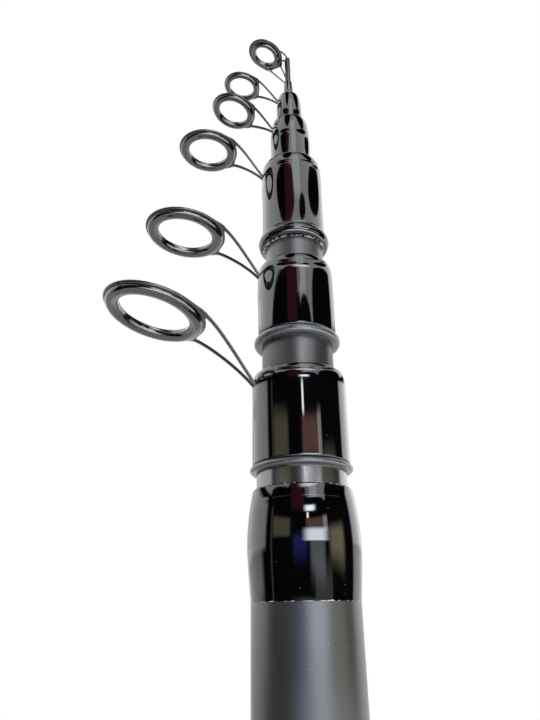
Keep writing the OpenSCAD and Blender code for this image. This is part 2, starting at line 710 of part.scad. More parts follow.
// Notch in the wrap's top edge through which the legs leave it
module leg_notch(k) {
  width = foot_width(k) + leg_width(k) / 2;
  translate([foot_r(k), -width / 2, notch_z(k)])
    cube([wrap_thickness[k] + cut, width, top_z(k) - notch_z(k) + cut]);
}

// Places a shape from the eye's own frame: its centre at the origin, its axis along Z
module at_eye(k) translate([eye_reach[k], 0, eye_z(k)]) rotate([0, -eye_tilt[k], 0]) children();

function eye_point(k, r, angle) =
  let (x = -r * cos(angle), tilt = eye_tilt[k])
  [eye_reach[k] + x * cos(tilt) - gauge[k] / 2 * sin(tilt), r * sin(angle),
   eye_z(k) + x * sin(tilt) + gauge[k] / 2 * cos(tilt)];

module eye_plate(k) {
  edge = gauge[k] / 2;
  outer = eye_od[k] / 2;
  at_eye(k) rotate_extrude() polygon(concat(
    [[neck_r(k), gauge[k]], [neck_r(k), 0]],
    arc([outer - edge, edge], [edge, edge], -90, 90)));
}

module guide_leg(k, side) {
  root = eye_point(k, eye_od[k] / 2 - gauge[k] / 2, side * leg_spread);
  foot = [foot_r(k) + foot_thickness(k) / 2, side * leg_width(k) / 2, foot_z(k) - leg_width(k)];
  reach = norm(root - foot);
  away = unit([-cos(eye_tilt[k]), -side * sin(leg_spread) / 3, -sin(eye_tilt[k])]);
  swept_strip(root, root + away * reach * leg_eye_pull, foot + leg_foot_way * reach * leg_foot_pull, foot,
              leg_width(k), leg_width(k) * leg_foot_width_share, leg_thickness(k));
}

module guide_frame(k) {
  color([0.2, 0.21, 0.22]) aim(k) {
    eye_plate(k);
    foot_blade(k, 0, 0, 0);
    for (side = [-1, 1]) guide_leg(k, side);
  }
}

// Hard ring in the frame, with a rounded bore and a flange on the butt side
module guide_ring(k) {
  bore_r = eye_bore[k] / 2;
  low = -ring_depth_gauges * gauge[k];
  high = ring_top_gauges * gauge[k];
  lead = (high - low) * ring_lead_share;
  neck = neck_r(k) - glue;
  edge = (flange_r(k) - neck) / 2;
  color([0.1, 0.1, 0.11]) aim(k) at_eye(k) rotate_extrude() polygon(concat(
    arc([bore_r + lead, low + lead], [lead, lead], 180, 270),
    arc([flange_r(k) - edge, low + edge], [edge, edge], -90, 0),
    [[flange_r(k), -2 * glue], [neck, -2 * glue], [neck, high - glue]],
    arc([bore_r + lead, high - lead], [lead, lead], 90, 180)));
}

// Tip section
tube_r = tip_end_od / 2 + glue + tube_wall;

module tip_blank() {
  color([0.21, 0.22, 0.24]) union() {
    blank_cone(TIP_INDEX, base_z(TIP_INDEX), tube_z, 0);
    translate([0, 0, tube_z]) cylinder(h = end_z(TIP_INDEX) - tube_z, d = tip_end_od);
  }
}

module tip_wrap() {
  low_r = tube_r + tip_wrap_thickness * tip_wrap_flare;
  high_r = tube_r + tip_wrap_thickness * tip_wrap_top_share;
  color([0.03, 0.03, 0.035]) translate([0, 0, tube_z]) difference() {
    cylinder(h = tip_wrap_length, r1 = low_r, r2 = high_r);
    translate([0, 0, -cut]) cylinder(h = tip_wrap_length + 2 * cut, r = tube_r + glue);
  }
}

// Point of the tip-top's rim at an angle round the eye from the side that faces the rod
function tip_root(angle) = eye_point(TIP_INDEX, tip_eye_od / 2 - tip_gauge / 2, angle);

// Straight strip of the tip-top frame
module tip_strip(root, foot, width, foot_width, thick) {
  swept_strip(root, between(root, foot, 1 / 3), between(root, foot, 2 / 3), foot, width, foot_width, thick);
}

module tip_leg(side) {
  upper = (1 + side) / 2;
  foot = [tube_r, side * tube_r / 2, tube_z + tip_wrap_length + tip_leg_height + upper * tip_leg_step];
  tip_strip(tip_root(side * tip_leg_spread - tip_leg_turn), foot, leg_width(TIP_INDEX),
            leg_width(TIP_INDEX) * tip_leg_foot_share, tip_gauge * tip_leg_gauges);
}

// Arched brace over the end of the tube, and a bar beside it
module tip_brace() {
  root = tip_root(tip_arch_turn);
  foot = [0, 0, tube_end_z - tube_wall / 2];
  rise = root[2] - foot[2];
  thick = tip_gauge * brace_gauges;
  swept_strip(root, root + rise * arch_eye_pull, foot + [0, 0, rise * arch_height], foot,
              tip_gauge, thick, thick);
  tip_strip(tip_root(-tip_arch_turn * bar_turn_share), foot, tip_gauge, thick, thick);
}

module tip_top_frame() {
  color([0.2, 0.21, 0.22]) aim(TIP_INDEX) {
    eye_plate(TIP_INDEX);
    for (side = [-1, 1]) tip_leg(side);
    tip_brace();
    difference() {
      translate([0, 0, tube_z]) cylinder(h = tube_length, r = tube_r);
      translate([0, 0, tube_z - cut])
        cylinder(h = tube_length - tube_wall + glue + cut, r = tip_end_od / 2 + glue);
    }
  }
}

butt_blank();
butt_collar();
rear_grip();
trim_ring();
fore_grip();
winding_check();
reel_seat_body();
fixed_hood();
sliding_hood();
lock_nut();
butt_ferrule();
butt_cap();
cap_gasket();
bumper_pad();
section_blank(2);  // section_2_blank
stop_ring(2);  // section_2_stop_ring
guide_wrap(2);  // section_2_wrap
guide_frame(2);  // section_2_guide_frame
guide_ring(2);  // section_2_guide_ring
section_blank(3);  // section_3_blank
stop_ring(3);  // section_3_stop_ring
guide_wrap(3);  // section_3_wrap
guide_frame(3);  // section_3_guide_frame
guide_ring(3);  // section_3_guide_ring
section_blank(4);  // section_4_blank
stop_ring(4);  // section_4_stop_ring
guide_wrap(4);  // section_4_wrap
guide_frame(4);  // section_4_guide_frame
guide_ring(4);  // section_4_guide_ring
section_blank(5);  // section_5_blank
guide_wrap(5);  // section_5_wrap
guide_frame(5);  // section_5_guide_frame
guide_ring(5);  // section_5_guide_ring
section_blank(6);  // section_6_blank
guide_wrap(6);  // section_6_wrap
guide_frame(6);  // section_6_guide_frame
guide_ring(6);  // section_6_guide_ring
tip_blank();
tip_wrap();
tip_top_frame();
guide_ring(TIP_INDEX);  // tip_top_ring
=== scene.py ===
"""Dresses a closed telescopic fishing rod and sets it in a plain studio.

The rod's axis is Z, its butt end is at the origin and its guides face -X. Lengths are in metres. Each piece
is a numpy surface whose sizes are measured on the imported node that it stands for.
"""

import json
import math
from functools import cache
from types import SimpleNamespace

import bpy
import numpy as np
from bpy.props import FloatProperty, FloatVectorProperty, IntProperty, PointerProperty
from mathutils import Matrix

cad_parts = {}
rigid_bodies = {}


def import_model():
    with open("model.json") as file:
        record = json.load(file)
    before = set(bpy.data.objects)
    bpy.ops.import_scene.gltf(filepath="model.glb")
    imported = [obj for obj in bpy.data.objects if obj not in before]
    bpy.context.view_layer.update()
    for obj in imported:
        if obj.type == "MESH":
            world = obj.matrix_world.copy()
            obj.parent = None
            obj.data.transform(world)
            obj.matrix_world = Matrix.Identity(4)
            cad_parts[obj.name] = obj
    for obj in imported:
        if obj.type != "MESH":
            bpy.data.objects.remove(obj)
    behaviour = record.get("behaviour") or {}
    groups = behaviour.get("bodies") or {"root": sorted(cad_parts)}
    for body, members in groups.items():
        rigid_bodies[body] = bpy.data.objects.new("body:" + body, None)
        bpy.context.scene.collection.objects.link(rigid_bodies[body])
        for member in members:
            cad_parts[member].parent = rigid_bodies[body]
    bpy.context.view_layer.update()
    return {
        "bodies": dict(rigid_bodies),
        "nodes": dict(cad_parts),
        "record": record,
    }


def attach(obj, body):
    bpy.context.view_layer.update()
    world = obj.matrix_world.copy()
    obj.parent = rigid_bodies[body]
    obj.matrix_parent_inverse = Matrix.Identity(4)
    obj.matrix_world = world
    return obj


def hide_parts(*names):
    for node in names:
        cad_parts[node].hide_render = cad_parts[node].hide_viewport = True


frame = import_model()

bl_info = {
    "name": "Telescopic rod",
    "version": (1, 0, 0),
    "blender": (4, 5, 0),
    "location": "View3D > Sidebar > Rod",
    "description": "Builds the skins, finishes and studio of a closed telescopic fishing rod",
    "category": "Object",
}

MM = 0.001
UP = np.array([0.0, 0.0, 1.0])
TUBES = ("section_2", "section_3", "section_4", "section_5", "section_6")
BEADED = TUBES[:3]

# Measures closer than this are the same one.
NEAR = 1e-5
SHARP_ANGLE = math.radians(40)
FILLET_STEPS = 6
EDGE_STEPS = 6

# Clearances, and the chamfers at the mouths of bores.
GLUE_GAP = 0.03 * MM
RING_GAP = 0.04 * MM
FINE_LEAD = 0.1 * MM
LEAD = 0.3 * MM

# How far the worn rim of a skin reaches.
RIM_REACH = 1.2 * MM
FINE_RIM = 0.12 * MM

MOUNT_OF = {mount["name"]: mount for mount in frame["record"]["mounts"]}
BODY_OF = {
    node: next(name for name, empty in frame["bodies"].items() if empty is part.parent)
    for node, part in frame["nodes"].items()
}


# Settings

def length(name, description, default):
    """A property for a length in metres."""
    return FloatProperty(name=name, description=description, default=default, unit="LENGTH", precision=5)


def number(name, description, default):
    """A property for a plain number."""
    return FloatProperty(name=name, description=description, default=default)


def share(name, description, default):
    """A property for a number from 0 to 1."""
    return FloatProperty(name=name, description=description, default=default, subtype="FACTOR", min=0, max=1)


def count(name, description, default, least):
    """A property for a whole number."""
    return IntProperty(name=name, description=description, default=default, min=least)


def triple(name, description, default, subtype):
    """A property for a place, a direction or a colour."""
    return FloatVectorProperty(name=name, description=description, default=default, subtype=subtype, size=3)


def colour(name, description, default):
    """A property for a plain colour."""
    return triple(name, description, default, "COLOR")


class RodShape(bpy.types.PropertyGroup):
    """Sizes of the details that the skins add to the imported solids."""

    steps: count("Steps round", "Points round a turned piece", 192, 48)
    edge: length("Edge round", "Radius of a turned piece's broken edges", 0.2 * MM)
    ripple: length("Coating ripple", "Height of the waves in a brushed-on coating", 0.035 * MM)
    mound: length("Foot mound", "Rise of the coating over a guide's foot", 0.18 * MM)
    mound_width: length("Mound width", "Half width of that rise", 1.4 * MM)
    mound_drop: number("Mound drop", "Depth of its crown under the top of the foot, in wrap radii", 0.52)
    mound_reach: length("Mound reach", "Half length of that rise", 2.6 * MM)
    web: number("Leg web", "Rise of the plate's edge at a leg, in sheet thicknesses", 1.2)
    hood_wall: length("Hood wall", "Wall of the two hoods", 1.9 * MM)
    pocket_radius: length("Pocket radius", "Half width of a hood's pocket", 9.5 * MM)
    pocket_depth: length("Pocket depth", "Depth of a hood's pocket", 15 * MM)
    thread_pitch: length("Thread pitch", "Pitch of the reel seat's thread", 2 * MM)
    thread_length: length("Thread length", "Length of the reel seat's threaded end", 38 * MM)
    bed_low: length("Bed start", "Height of the reel foot bed over the seat's lower end", 11 * MM)
    bed_width: length("Bed width", "Width of the reel foot bed", 15 * MM)
    nut_flutes: count("Nut flutes", "Flutes round the lock nut", 18, 6)
    cap_flutes: count("Cap flutes", "Flutes round the butt cap", 24, 6)


class RodFinish(bpy.types.PropertyGroup):
    """Colours and roughness of the rod's finishes."""

    blank: colour("Blank", "Satin graphite of the tubes", (0.009, 0.0092, 0.01))
    blank_roughness: share("Blank roughness", "Roughness of the tubes", 0.33)
    sleek: colour("Sleek blank", "Polished graphite of the second section", (0.014, 0.0135, 0.0125))
    sleek_roughness: share("Sleek roughness", "Roughness of the second section", 0.18)
    epoxy: colour("Coating", "Black of the wraps and the collar", (0.001, 0.001, 0.0012))
    chip: colour("Chips", "Pale flakes along the edges of the coating", (0.5, 0.5, 0.49))
    bead: colour("Stop bead", "Satin grey of the stop beads", (0.034, 0.035, 0.038))
    chrome: colour("Guide metal", "Dark chrome of the guide frames", (0.098, 0.098, 0.102))
    ring: colour("Guide ring", "Polished dark ring of a guide", (0.135, 0.133, 0.13))
    foam: colour("Foam", "Black foam of the grips", (0.022, 0.022, 0.024))
    seat: colour("Seat", "Graphite-filled plastic of the reel seat", (0.014, 0.0145, 0.016))
    hood: colour("Hoods", "Anodised metal of the hoods and the nut", (0.1, 0.103, 0.112))
    trim: colour("Trim", "Turned metal of the trim rings", (0.5, 0.51, 0.53))
    cap: colour("Cap", "Moulded black of the butt cap", (0.025, 0.025, 0.027))
    rubber: colour("Rubber", "Soft black of the gasket and the pad", (0.018, 0.018, 0.018))


class RodStudio(bpy.types.PropertyGroup):
    """Camera, light and floor of the picture."""

    eye: triple("Camera place", "Where the camera stands", (-0.051435, -0.138617, 0.5327), "TRANSLATION")
    right: triple("Camera right", "The picture's direction to the right",
                  (0.9553457, -0.2951476, -0.0142303), "DIRECTION")
    up: triple("Camera up", "The picture's upward direction",
               (-0.1007267, -0.3705538, 0.9233331), "DIRECTION")
    lens: number("Lens", "Focal length of the camera in mm", 30.0)
    floor: colour("Floor", "Pale matte floor", (0.62, 0.62, 0.62))
    floor_radius: length("Floor radius", "Half width of the floor", 1.2)
    floor_fade: length("Floor fade", "Distance from the rod at which the floor starts to fade to white", 0.25)
    fill: number("Fill", "Power of the soft fill lamps in watts", 3.0)
    bright: number("Wall level", "Level of the studio's white walls", 1.0)
    dark: number("Dark side", "Level of the studio's dark side", 0.004)


def shape():
    return bpy.context.scene.rod_shape


def finishes():
    return bpy.context.scene.rod_finish


def studio():
    return bpy.context.scene.rod_studio


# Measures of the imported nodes

def unit(vector):
    vector = np.asarray(vector, float)
    return vector / np.linalg.norm(vector)


def node_points(node):
    """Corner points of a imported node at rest, one row each."""
    mesh = frame["nodes"][node].data
    flat = np.empty(len(mesh.vertices) * 3, np.float32)
    mesh.vertices.foreach_get("co", flat)
    return flat.reshape(-1, 3).astype(float)


def measured(node):
    """Places, radii and heights of a node's points, its radii at both ends, its bore, its widest radius with
    that one's height, and the height up to which it is as wide as at its lower end."""
    points = node_points(node)
    radius, height = np.hypot(points[:, 0], points[:, 1]), points[:, 2]
    low_end, high_end = (radius[np.abs(height - level) < NEAR] for level in (height.min(), height.max()))
    widest = np.argmax(radius)
    return SimpleNamespace(
        x=points[:, 0], radius=radius, height=height,
        low_z=height.min(), low_r=low_end.max(), low_bore=low_end.min(),
        high_z=height.max(), high_r=high_end.max(), high_bore=high_end.min(),
        bore=radius.min(), wide_r=radius[widest], wide_z=height[widest],
        full_z=height[radius > low_end.max() - NEAR].max())


def guide_eye(part):
    """Place, axes and radii of the eye on a section or on the tip, and the heights of its foot. The axes run
    outwards, across and along the bore. Out and across are the level directions from the rod."""
    kind = "_top_" if part == "tip" else "_guide_"
    mount = MOUNT_OF[part + "_eye"]
    centre, along = np.array(mount["pos_m"]), unit(mount["axis"])
    along = along * np.sign(along[2])
    azimuth = math.atan2(centre[1], centre[0])
    out = np.array([math.cos(azimuth), math.sin(azimuth), 0.0])
    outwards = unit(out - along * (out @ along))
    axes = np.stack([outwards, np.cross(along, outwards), along])
    points = node_points(part + kind + "frame")
    plate = (points - centre) @ axes.T
    ring = (node_points(part + kind + "ring") - centre) @ axes.T
    plate_r, ring_r = np.hypot(plate[:, 0], plate[:, 1]), np.hypot(ring[:, 0], ring[:, 1])
    far_side = plate[:, 0] > 0
    outer = plate_r[far_side].max()
    level = plate[far_side & (plate_r < outer + NEAR), 2]
    low, high = level.min(), level.max()
    from_axis = points @ out
    return SimpleNamespace(
        centre=centre, axes=axes, azimuth=azimuth, out=out, across=np.cross(UP, out),
        outer=outer, low=low, high=high, gauge=high - low, bore=ring_r.min(), flange=ring_r.max(),
        ring_low=ring[:, 2].min(), ring_high=ring[:, 2].max(), neck=ring_r[ring[:, 2] > low + NEAR].max(),
        foot_low=points[:, 2].min(), foot_high=points[from_axis < from_axis.min() + NEAR, 2].max())


# Curves

def smoothstep(low, high, value):
    """0 below low, 1 above high and a smooth cubic between them."""
    t = np.clip((value - low) / (high - low), 0, 1)
    return t * t * (3 - 2 * t)


def plateau(value, rise_from, rise_to, fall_from, fall_to):
    """1 from rise_to to fall_from and 0 outside, with a smooth step on each side."""
    return smoothstep(rise_from, rise_to, value) * (1 - smoothstep(fall_from, fall_to, value))


def bell(distance, width):
    """Bell curve: the exponential of the negative square of distance over width."""
    return np.exp(-(distance / width) ** 2)


def signed(angle):
    """The same angle, from minus half a turn to plus half a turn."""
    return (angle + np.pi) % (2 * np.pi) - np.pi


def angles(steps):
    """Angles evenly spaced round a full turn."""
    return np.linspace(0, 2 * np.pi, steps, endpoint=False)


def arc(centre, radii, start, end, rows):
    """Ellipse about a centre, from one angle in degrees to another."""
    turn = np.radians(np.linspace(start, end, rows))
    return np.asarray(centre) + np.stack([np.cos(turn), np.sin(turn)], 1) * radii


def bezier(a, b, c, d, rows):
    """Cubic curve from a to d that leaves towards b and comes in from c."""
    t = np.linspace(0, 1, rows)[:, None]
    return (1 - t) ** 3 * a + 3 * t * (1 - t) ** 2 * b + 3 * t**2 * (1 - t) * c + t**3 * d


def rounded(corners, radius):
    """Closed outline whose corners are each swapped for a parabola that touches both sides at the given
    distance from the corner, or at 45% of the shorter side where that is less."""
    corners = np.asarray(corners, float)
    to_last, to_next = np.roll(corners, 1, 0) - corners, np.roll(corners, -1, 0) - corners
    last_length = np.linalg.norm(to_last, axis=1, keepdims=True)
    next_length = np.linalg.norm(to_next, axis=1, keepdims=True)
    reach = np.minimum(np.reshape(radius, (-1, 1)), 0.45 * np.minimum(last_length, next_length))
    start, end = corners + to_last / last_length * reach, corners + to_next / next_length * reach
    t = np.linspace(0, 1, FILLET_STEPS)[None, :, None]
    curve = (1 - t) ** 2 * start[:, None] + 2 * t * (1 - t) * corners[:, None] + t**2 * end[:, None]
    return curve.reshape(-1, 2)


# Skins

def skin(grid, looped=False, rim=0.0):
    """Closed skin over a grid of points whose columns run round. Its rows loop back to the first one, or
    end in two flat caps. The sign of the enclosed volume turns the faces outwards."""
    rows, cols = grid.shape[:2]
    i = np.arange(rows if looped else rows - 1)[:, None]
    j = np.arange(cols)[None, :]
    up, beside = (i + 1) % rows, (j + 1) % cols
    quads = np.stack([i * cols + j, i * cols + beside, up * cols + beside, up * cols + j], -1).reshape(-1, 4)
    ring = np.arange(cols)
    caps = [] if looped else [ring[::-1], (rows - 1) * cols + ring]
    points = grid.reshape(-1, 3)
    fans = [np.stack([np.full(cols - 2, cap[0]), cap[1:-1], cap[2:]], 1) for cap in caps]
    corners = points[np.concatenate([quads[:, :3], quads[:, [0, 2, 3]], *fans])]
    volume = np.einsum("ij,ij->", corners[:, 0], np.cross(corners[:, 1], corners[:, 2]))
    if volume < 0:
        quads, caps = quads[:, ::-1], [cap[::-1] for cap in caps]
    return SimpleNamespace(
        points=points, corners=np.concatenate([quads.ravel(), *caps]),
        sizes=np.concatenate([np.full(len(quads), 4), *[[cols]] * len(caps)]).astype(int),
        rim=np.broadcast_to(rim, (rows, cols)).ravel())


def ringed(radii, heights, looped, rim_reach, top_rim=True):
    """Skin of rings round Z, a row of radii for each height. The rim value is 1 at the lowest ring, and at the
    highest one where that has a rim, and fades over rim_reach."""
    angle = angles(radii.shape[1])
    to_end = heights - heights.min()
    if top_rim:
        to_end = np.minimum(to_end, heights.max() - heights)
    grid = np.broadcast_arrays(radii * np.cos(angle), radii * np.sin(angle), heights)
    return skin(np.stack(grid, -1), looped, np.exp(-to_end / rim_reach))


def turned(profile, bump=None, steps=None, looped=True, rim_reach=RIM_REACH):
    """Surface of revolution: a profile of radii and heights carried round Z. bump(angle, radius, height)
    is added to the radius."""
    angle = angles(steps or shape().steps)
    radius, height = np.hsplit(np.asarray(profile, float), 2)
    radii = radius + (0 * angle if bump is None else bump(angle, radius, height))
    return ringed(radii, height, looped, rim_reach)


def lofted(levels, rim_reach, looped=True, top_rim=True):
    """Skin through levels, each the radii round Z at one height, and that height."""
    radii = np.stack([np.broadcast_to(radius, shape().steps) for radius, _ in levels])
    heights = np.array([[height] for _, height in levels])
    return ringed(radii, heights, looped, rim_reach, top_rim)


def swept(path, across, half_width, half_thick, power=0.75, steps=18):
    """Strip along a path: a rounded-square section, the powers of cosine and sine, stands square to the
    path, with its width towards the across direction."""
    along = np.gradient(path, axis=0)
    along /= np.linalg.norm(along, axis=1, keepdims=True)
    lift = np.cross(along, np.broadcast_to(across, along.shape))
    lift /= np.linalg.norm(lift, axis=1, keepdims=True)
    side = np.cross(lift, along)
    cos, sin = np.cos(angles(steps)), np.sin(angles(steps))
    wide, tall = (np.sign(wave) * np.abs(wave) ** power for wave in (cos, sin))
    half_width, half_thick = (np.broadcast_to(half, len(path))[:, None] for half in (half_width, half_thick))
    return skin(path[:, None] + (half_width * wide)[..., None] * side[:, None]
                + (half_thick * tall)[..., None] * lift[:, None])


def dress(node, look, *shells):
    """Puts skins into one mesh piece that rides on its node's body and stands for the node. look is the
    function that makes its finish."""
    starts = np.cumsum([0] + [len(shell.points) for shell in shells])
    points = np.concatenate([shell.points for shell in shells])
    corners = np.concatenate([shell.corners + start for shell, start in zip(shells, starts)])
    sizes = np.concatenate([shell.sizes for shell in shells])
    rim = np.concatenate([shell.rim for shell in shells])
    mesh = bpy.data.meshes.new(node + "_skin")
    mesh.vertices.add(len(points))
    mesh.vertices.foreach_set("co", points.astype(np.float32).ravel())
    mesh.loops.add(len(corners))
    mesh.loops.foreach_set("vertex_index", corners.astype(np.int32))
    mesh.polygons.add(len(sizes))
    mesh.polygons.foreach_set("loop_start", np.concatenate([[0], np.cumsum(sizes)[:-1]]).astype(np.int32))
    mesh.update(calc_edges=True)
    mesh.polygons.foreach_set("use_smooth", np.ones(len(sizes), bool))
    mesh.set_sharp_from_angle(angle=SHARP_ANGLE)
    mesh.attributes.new("rim", "FLOAT", "POINT").data.foreach_set("value", rim.astype(np.float32))
    mesh.materials.append(finish_of(look))
    piece = bpy.data.objects.new(node + "_skin", mesh)
    bpy.context.scene.collection.objects.link(piece)
    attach(piece, BODY_OF[node])
    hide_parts(node)


# Finishes

def scaled(tone, factor):
    return tuple(channel * factor for channel in tone)


class Nodes:
    """A node tree with one short call that adds a node, sets it and links its inputs."""

    def __init__(self, tree):
        self.tree = tree
        tree.nodes.clear()

    def add(self, kind, inputs=(), **settings):
        node = self.tree.nodes.new(kind)
        for name, value in settings.items():
            setattr(node, name, value)
        for key, value in dict(inputs).items():
            if isinstance(value, bpy.types.NodeSocket):
                self.tree.links.new(value, node.inputs[key])
            else:
                node.inputs[key].default_value = value
        return node

    def maths(self, operation, a, b=0.0):
        return self.add("ShaderNodeMath", {0: a, 1: b}, operation=operation).outputs[0]

    def vectors(self, operation, inputs, output="Vector"):
        return self.add("ShaderNodeVectorMath", inputs, operation=operation).outputs[output]

    def step(self, value, low, high, to_low=0.0, to_high=1.0):
        """to_low below low and to_high above high, with a smooth step between."""
        return self.add("ShaderNodeMapRange", {"Value": value, "From Min": low, "From Max": high,
                                               "To Min": to_low, "To Max": to_high},
                        interpolation_type="SMOOTHSTEP").outputs[0]

    def mix(self, factor, a, b):
        """Colour a turning into colour b with the factor."""
        a, b = (paint if isinstance(paint, bpy.types.NodeSocket) else (*paint, 1.0) for paint in (a, b))
        return self.add("ShaderNodeMix", {0: factor, 6: a, 7: b}, data_type="RGBA").outputs[2]

    def coords(self, scale=(1, 1, 1)):
        """The piece's own place in metres, stretched by the scale."""
        where = self.add("ShaderNodeTexCoord").outputs["Object"]
        return self.add("ShaderNodeMapping", {"Vector": where, "Scale": scale}).outputs[0]

    def noise(self, scale, stretch=(1, 1, 1), detail=2.0):
        return self.add("ShaderNodeTexNoise", {"Vector": self.coords(stretch), "Scale": scale,
                                               "Detail": detail}).outputs["Fac"]

    def cells(self, scale):
        return self.add("ShaderNodeTexVoronoi", {"Vector": self.coords(), "Scale": scale})

    def specks(self, scale, size, kept):
        """Small dots, one in some of the cells of the given scale."""
        cells = self.cells(scale)
        dot = self.step(cells.outputs["Distance"], size * 0.6, size, 1.0, 0.0)
        chance = self.add("ShaderNodeSeparateColor", {"Color": cells.outputs["Color"]}).outputs[0]
        return self.maths("MULTIPLY", dot, self.maths("LESS_THAN", chance, kept))

    def rim(self):
        """1 along a skin's two edges, fading to 0 away from them."""
        return self.add("ShaderNodeAttribute", attribute_name="rim").outputs["Fac"]

    def rubbed(self, scale, detail, span):
        """The rim, broken up by a noise that rises through the span."""
        return self.maths("MULTIPLY", self.rim(), self.step(self.noise(scale, detail=detail), *span))


class Finish(Nodes):
    """A material with a Principled surface, whose plain sockets are set directly. Its body colour is a grain
    with layers over it."""

    def __init__(self, name, **sockets):
        self.material = bpy.data.materials.new(name)
        self.material.use_nodes = True
        super().__init__(self.material.node_tree)
        plain = {key.replace("_", " "): value for key, value in sockets.items()}
        self.surface = self.add("ShaderNodeBsdfPrincipled", plain)
        self.output = self.add("ShaderNodeOutputMaterial", {0: self.surface.outputs[0]})

    def grain(self, marks, tone, dark, pale, span=(0.3, 0.7)):
        """Body colour from dark to pale times the tone, as the marks go through their span."""
        self.body = self.mix(self.step(marks, *span), scaled(tone, dark), scaled(tone, pale))

    def lay(self, mask, paint, strength=None):
        """Paint over the body colour where the mask is."""
        factor = self.maths("MULTIPLY", mask, strength) if strength else mask
        self.body = self.mix(factor, self.body, paint)

    def done(self, marks, rough, relief, span=(0.3, 0.7), relief_of=None):
        """The material. Its roughness follows the marks through their span. Its relief, the depth in metres of
        their run from 0 to 1, follows the same marks or other ones."""
        tilt = self.add("ShaderNodeBump", {"Height": relief_of or marks, "Strength": 1.0,
                                           "Distance": relief}).outputs[0]
        joined = {"Base Color": self.body, "Roughness": self.step(marks, *span, *rough), "Normal": tilt}
        for socket, value in joined.items():
            self.tree.links.new(value, self.surface.inputs[socket])
        return self.material


DUST = (0.6, 0.6, 0.58)
COATED_DUST = (0.45, 0.45, 0.44)
SCRATCH = (0.4, 0.4, 0.41)
BARE_METAL = (0.45, 0.45, 0.46)


def graphite(name, tone, roughness, index):
    """Sanded graphite tube: a dense dark body under a satin sheen, with faint rings from sanding, a little dust
    and a few scratches."""
    look = Finish(name, IOR=index)
    rings = look.noise(1.0, (90, 90, 4200), 3.0)
    look.grain(rings, tone, dark=0.95, pale=1.04)
    look.lay(look.specks(620.0, size=0.07, kept=0.07), DUST, strength=0.45)
    look.lay(look.step(look.noise(1.0, (150, 150, 3600), 1.0), 0.76, 0.8), SCRATCH, strength=0.35)
    cloud = look.noise(70.0, detail=4.0)
    rough = roughness - 0.02, roughness + 0.03
    return look.done(cloud, rough, relief=0.0006 * MM, relief_of=rings)


def satin_graphite():
    return graphite("satin_graphite", finishes().blank, finishes().blank_roughness, index=1.85)


def sleek_graphite():
    return graphite("sleek_graphite", finishes().sleek, finishes().sleek_roughness, index=2.3)


def gloss_epoxy():
    """Brushed-on black coating: slow waves, dust under the gloss and pale flakes along its edges."""
    look = Finish("gloss_epoxy", IOR=1.7)
    look.body = finishes().epoxy
    look.lay(look.specks(900.0, size=0.075, kept=0.14), COATED_DUST, strength=0.5)
    ragged = look.maths("MULTIPLY", look.noise(900.0, (1, 1, 1.6), 4.0), 0.9)
    flake = look.step(look.maths("ADD", look.rim(), ragged), 1.42, 1.47)
    look.lay(flake, finishes().chip)
    waves = look.noise(160.0, (1, 1, 0.6), 1.0)
    return look.done(flake, rough=(0.03, 0.5), relief=0.02 * MM, span=(0.0, 1.0), relief_of=waves)


def satin_bead():
    """Painted stop bead: satin grey with fine grain and dust."""
    look = Finish("satin_bead", IOR=1.8)
    grain = look.noise(2600.0, detail=3.0)
    look.grain(grain, finishes().bead, dark=0.85, pale=1.15)
    look.lay(look.specks(800.0, size=0.08, kept=0.12), DUST, strength=0.5)
    return look.done(grain, rough=(0.24, 0.32), relief=0.0008 * MM, span=(0.2, 0.8))


def dark_chrome():
    """Plated guide frame: smoky mirror with faint polishing marks."""
    look = Finish("dark_chrome", Metallic=1.0)
    marks = look.noise(900.0, (1, 1, 5), 4.0)
    look.grain(marks, finishes().chrome, dark=0.85, pale=1.0, span=(0.35, 0.7))
    return look.done(marks, rough=(0.1, 0.17), relief=0.0006 * MM, span=(0.3, 0.75))


def polished_ring():
    """Hard guide ring: dark polished surface with a trace of grinding round it."""
    look = Finish("polished_ring", Metallic=1.0)
    marks = look.noise(1400.0, detail=3.0)
    look.grain(marks, finishes().ring, dark=0.9, pale=1.0)
    return look.done(marks, rough=(0.08, 0.14), relief=0.0004 * MM, span=(0.3, 0.75))


def grip_foam():
    """Closed-cell foam: small open pores, sunk by the relief and painted darker as painted shade inside them, a
    sanded nap and slightly rubbed ends.
    """
    tone = finishes().foam
    look = Finish("grip_foam", Sheen_Weight=0.12, Sheen_Roughness=0.6)
    pore_relief_and_shade = look.step(look.cells(1700.0).outputs["Distance"], 0.05, 0.45)
    nap = look.noise(420.0, detail=5.0)
    # Painted shade: the pores are coloured darker than the foam round them, following the same mask that sinks
    # them.
    look.body = look.mix(pore_relief_and_shade, scaled(tone, 0.55), scaled(tone, 1.15))
    look.lay(look.step(nap, 0.5, 0.75), scaled(tone, 2.0), strength=0.35)
    look.lay(look.rim(), scaled(tone, 2.6), strength=0.3)
    return look.done(nap, rough=(0.78, 0.93), relief=0.09 * MM, relief_of=pore_relief_and_shade)


def graphite_plastic():
    """Moulded reel seat: satin plastic with a fine grain and rubbed streaks."""
    tone = finishes().seat
    look = Finish("graphite_plastic", IOR=1.5)
    grain = look.noise(1900.0, detail=4.0)
    look.grain(grain, tone, dark=0.8, pale=1.25, span=(0.35, 0.65))
    look.lay(look.step(look.noise(1.0, (500, 500, 60), 4.0), 0.66, 0.78), scaled(tone, 3.2), strength=0.4)
    return look.done(grain, rough=(0.22, 0.3), relief=0.002 * MM)


def anodised_metal():
    """Anodised hoods, nut and ferrule: brushed round the axis, brighter where the edges are rubbed."""
    look = Finish("anodised_metal", Metallic=1.0)
    brush = look.noise(1.0, (120, 120, 7000), 3.0)
    look.grain(brush, finishes().hood, dark=0.93, pale=1.07)
    look.lay(look.rubbed(700.0, 4.0, span=(0.42, 0.62)), BARE_METAL, strength=0.35)
    return look.done(brush, rough=(0.26, 0.33), relief=0.0006 * MM)


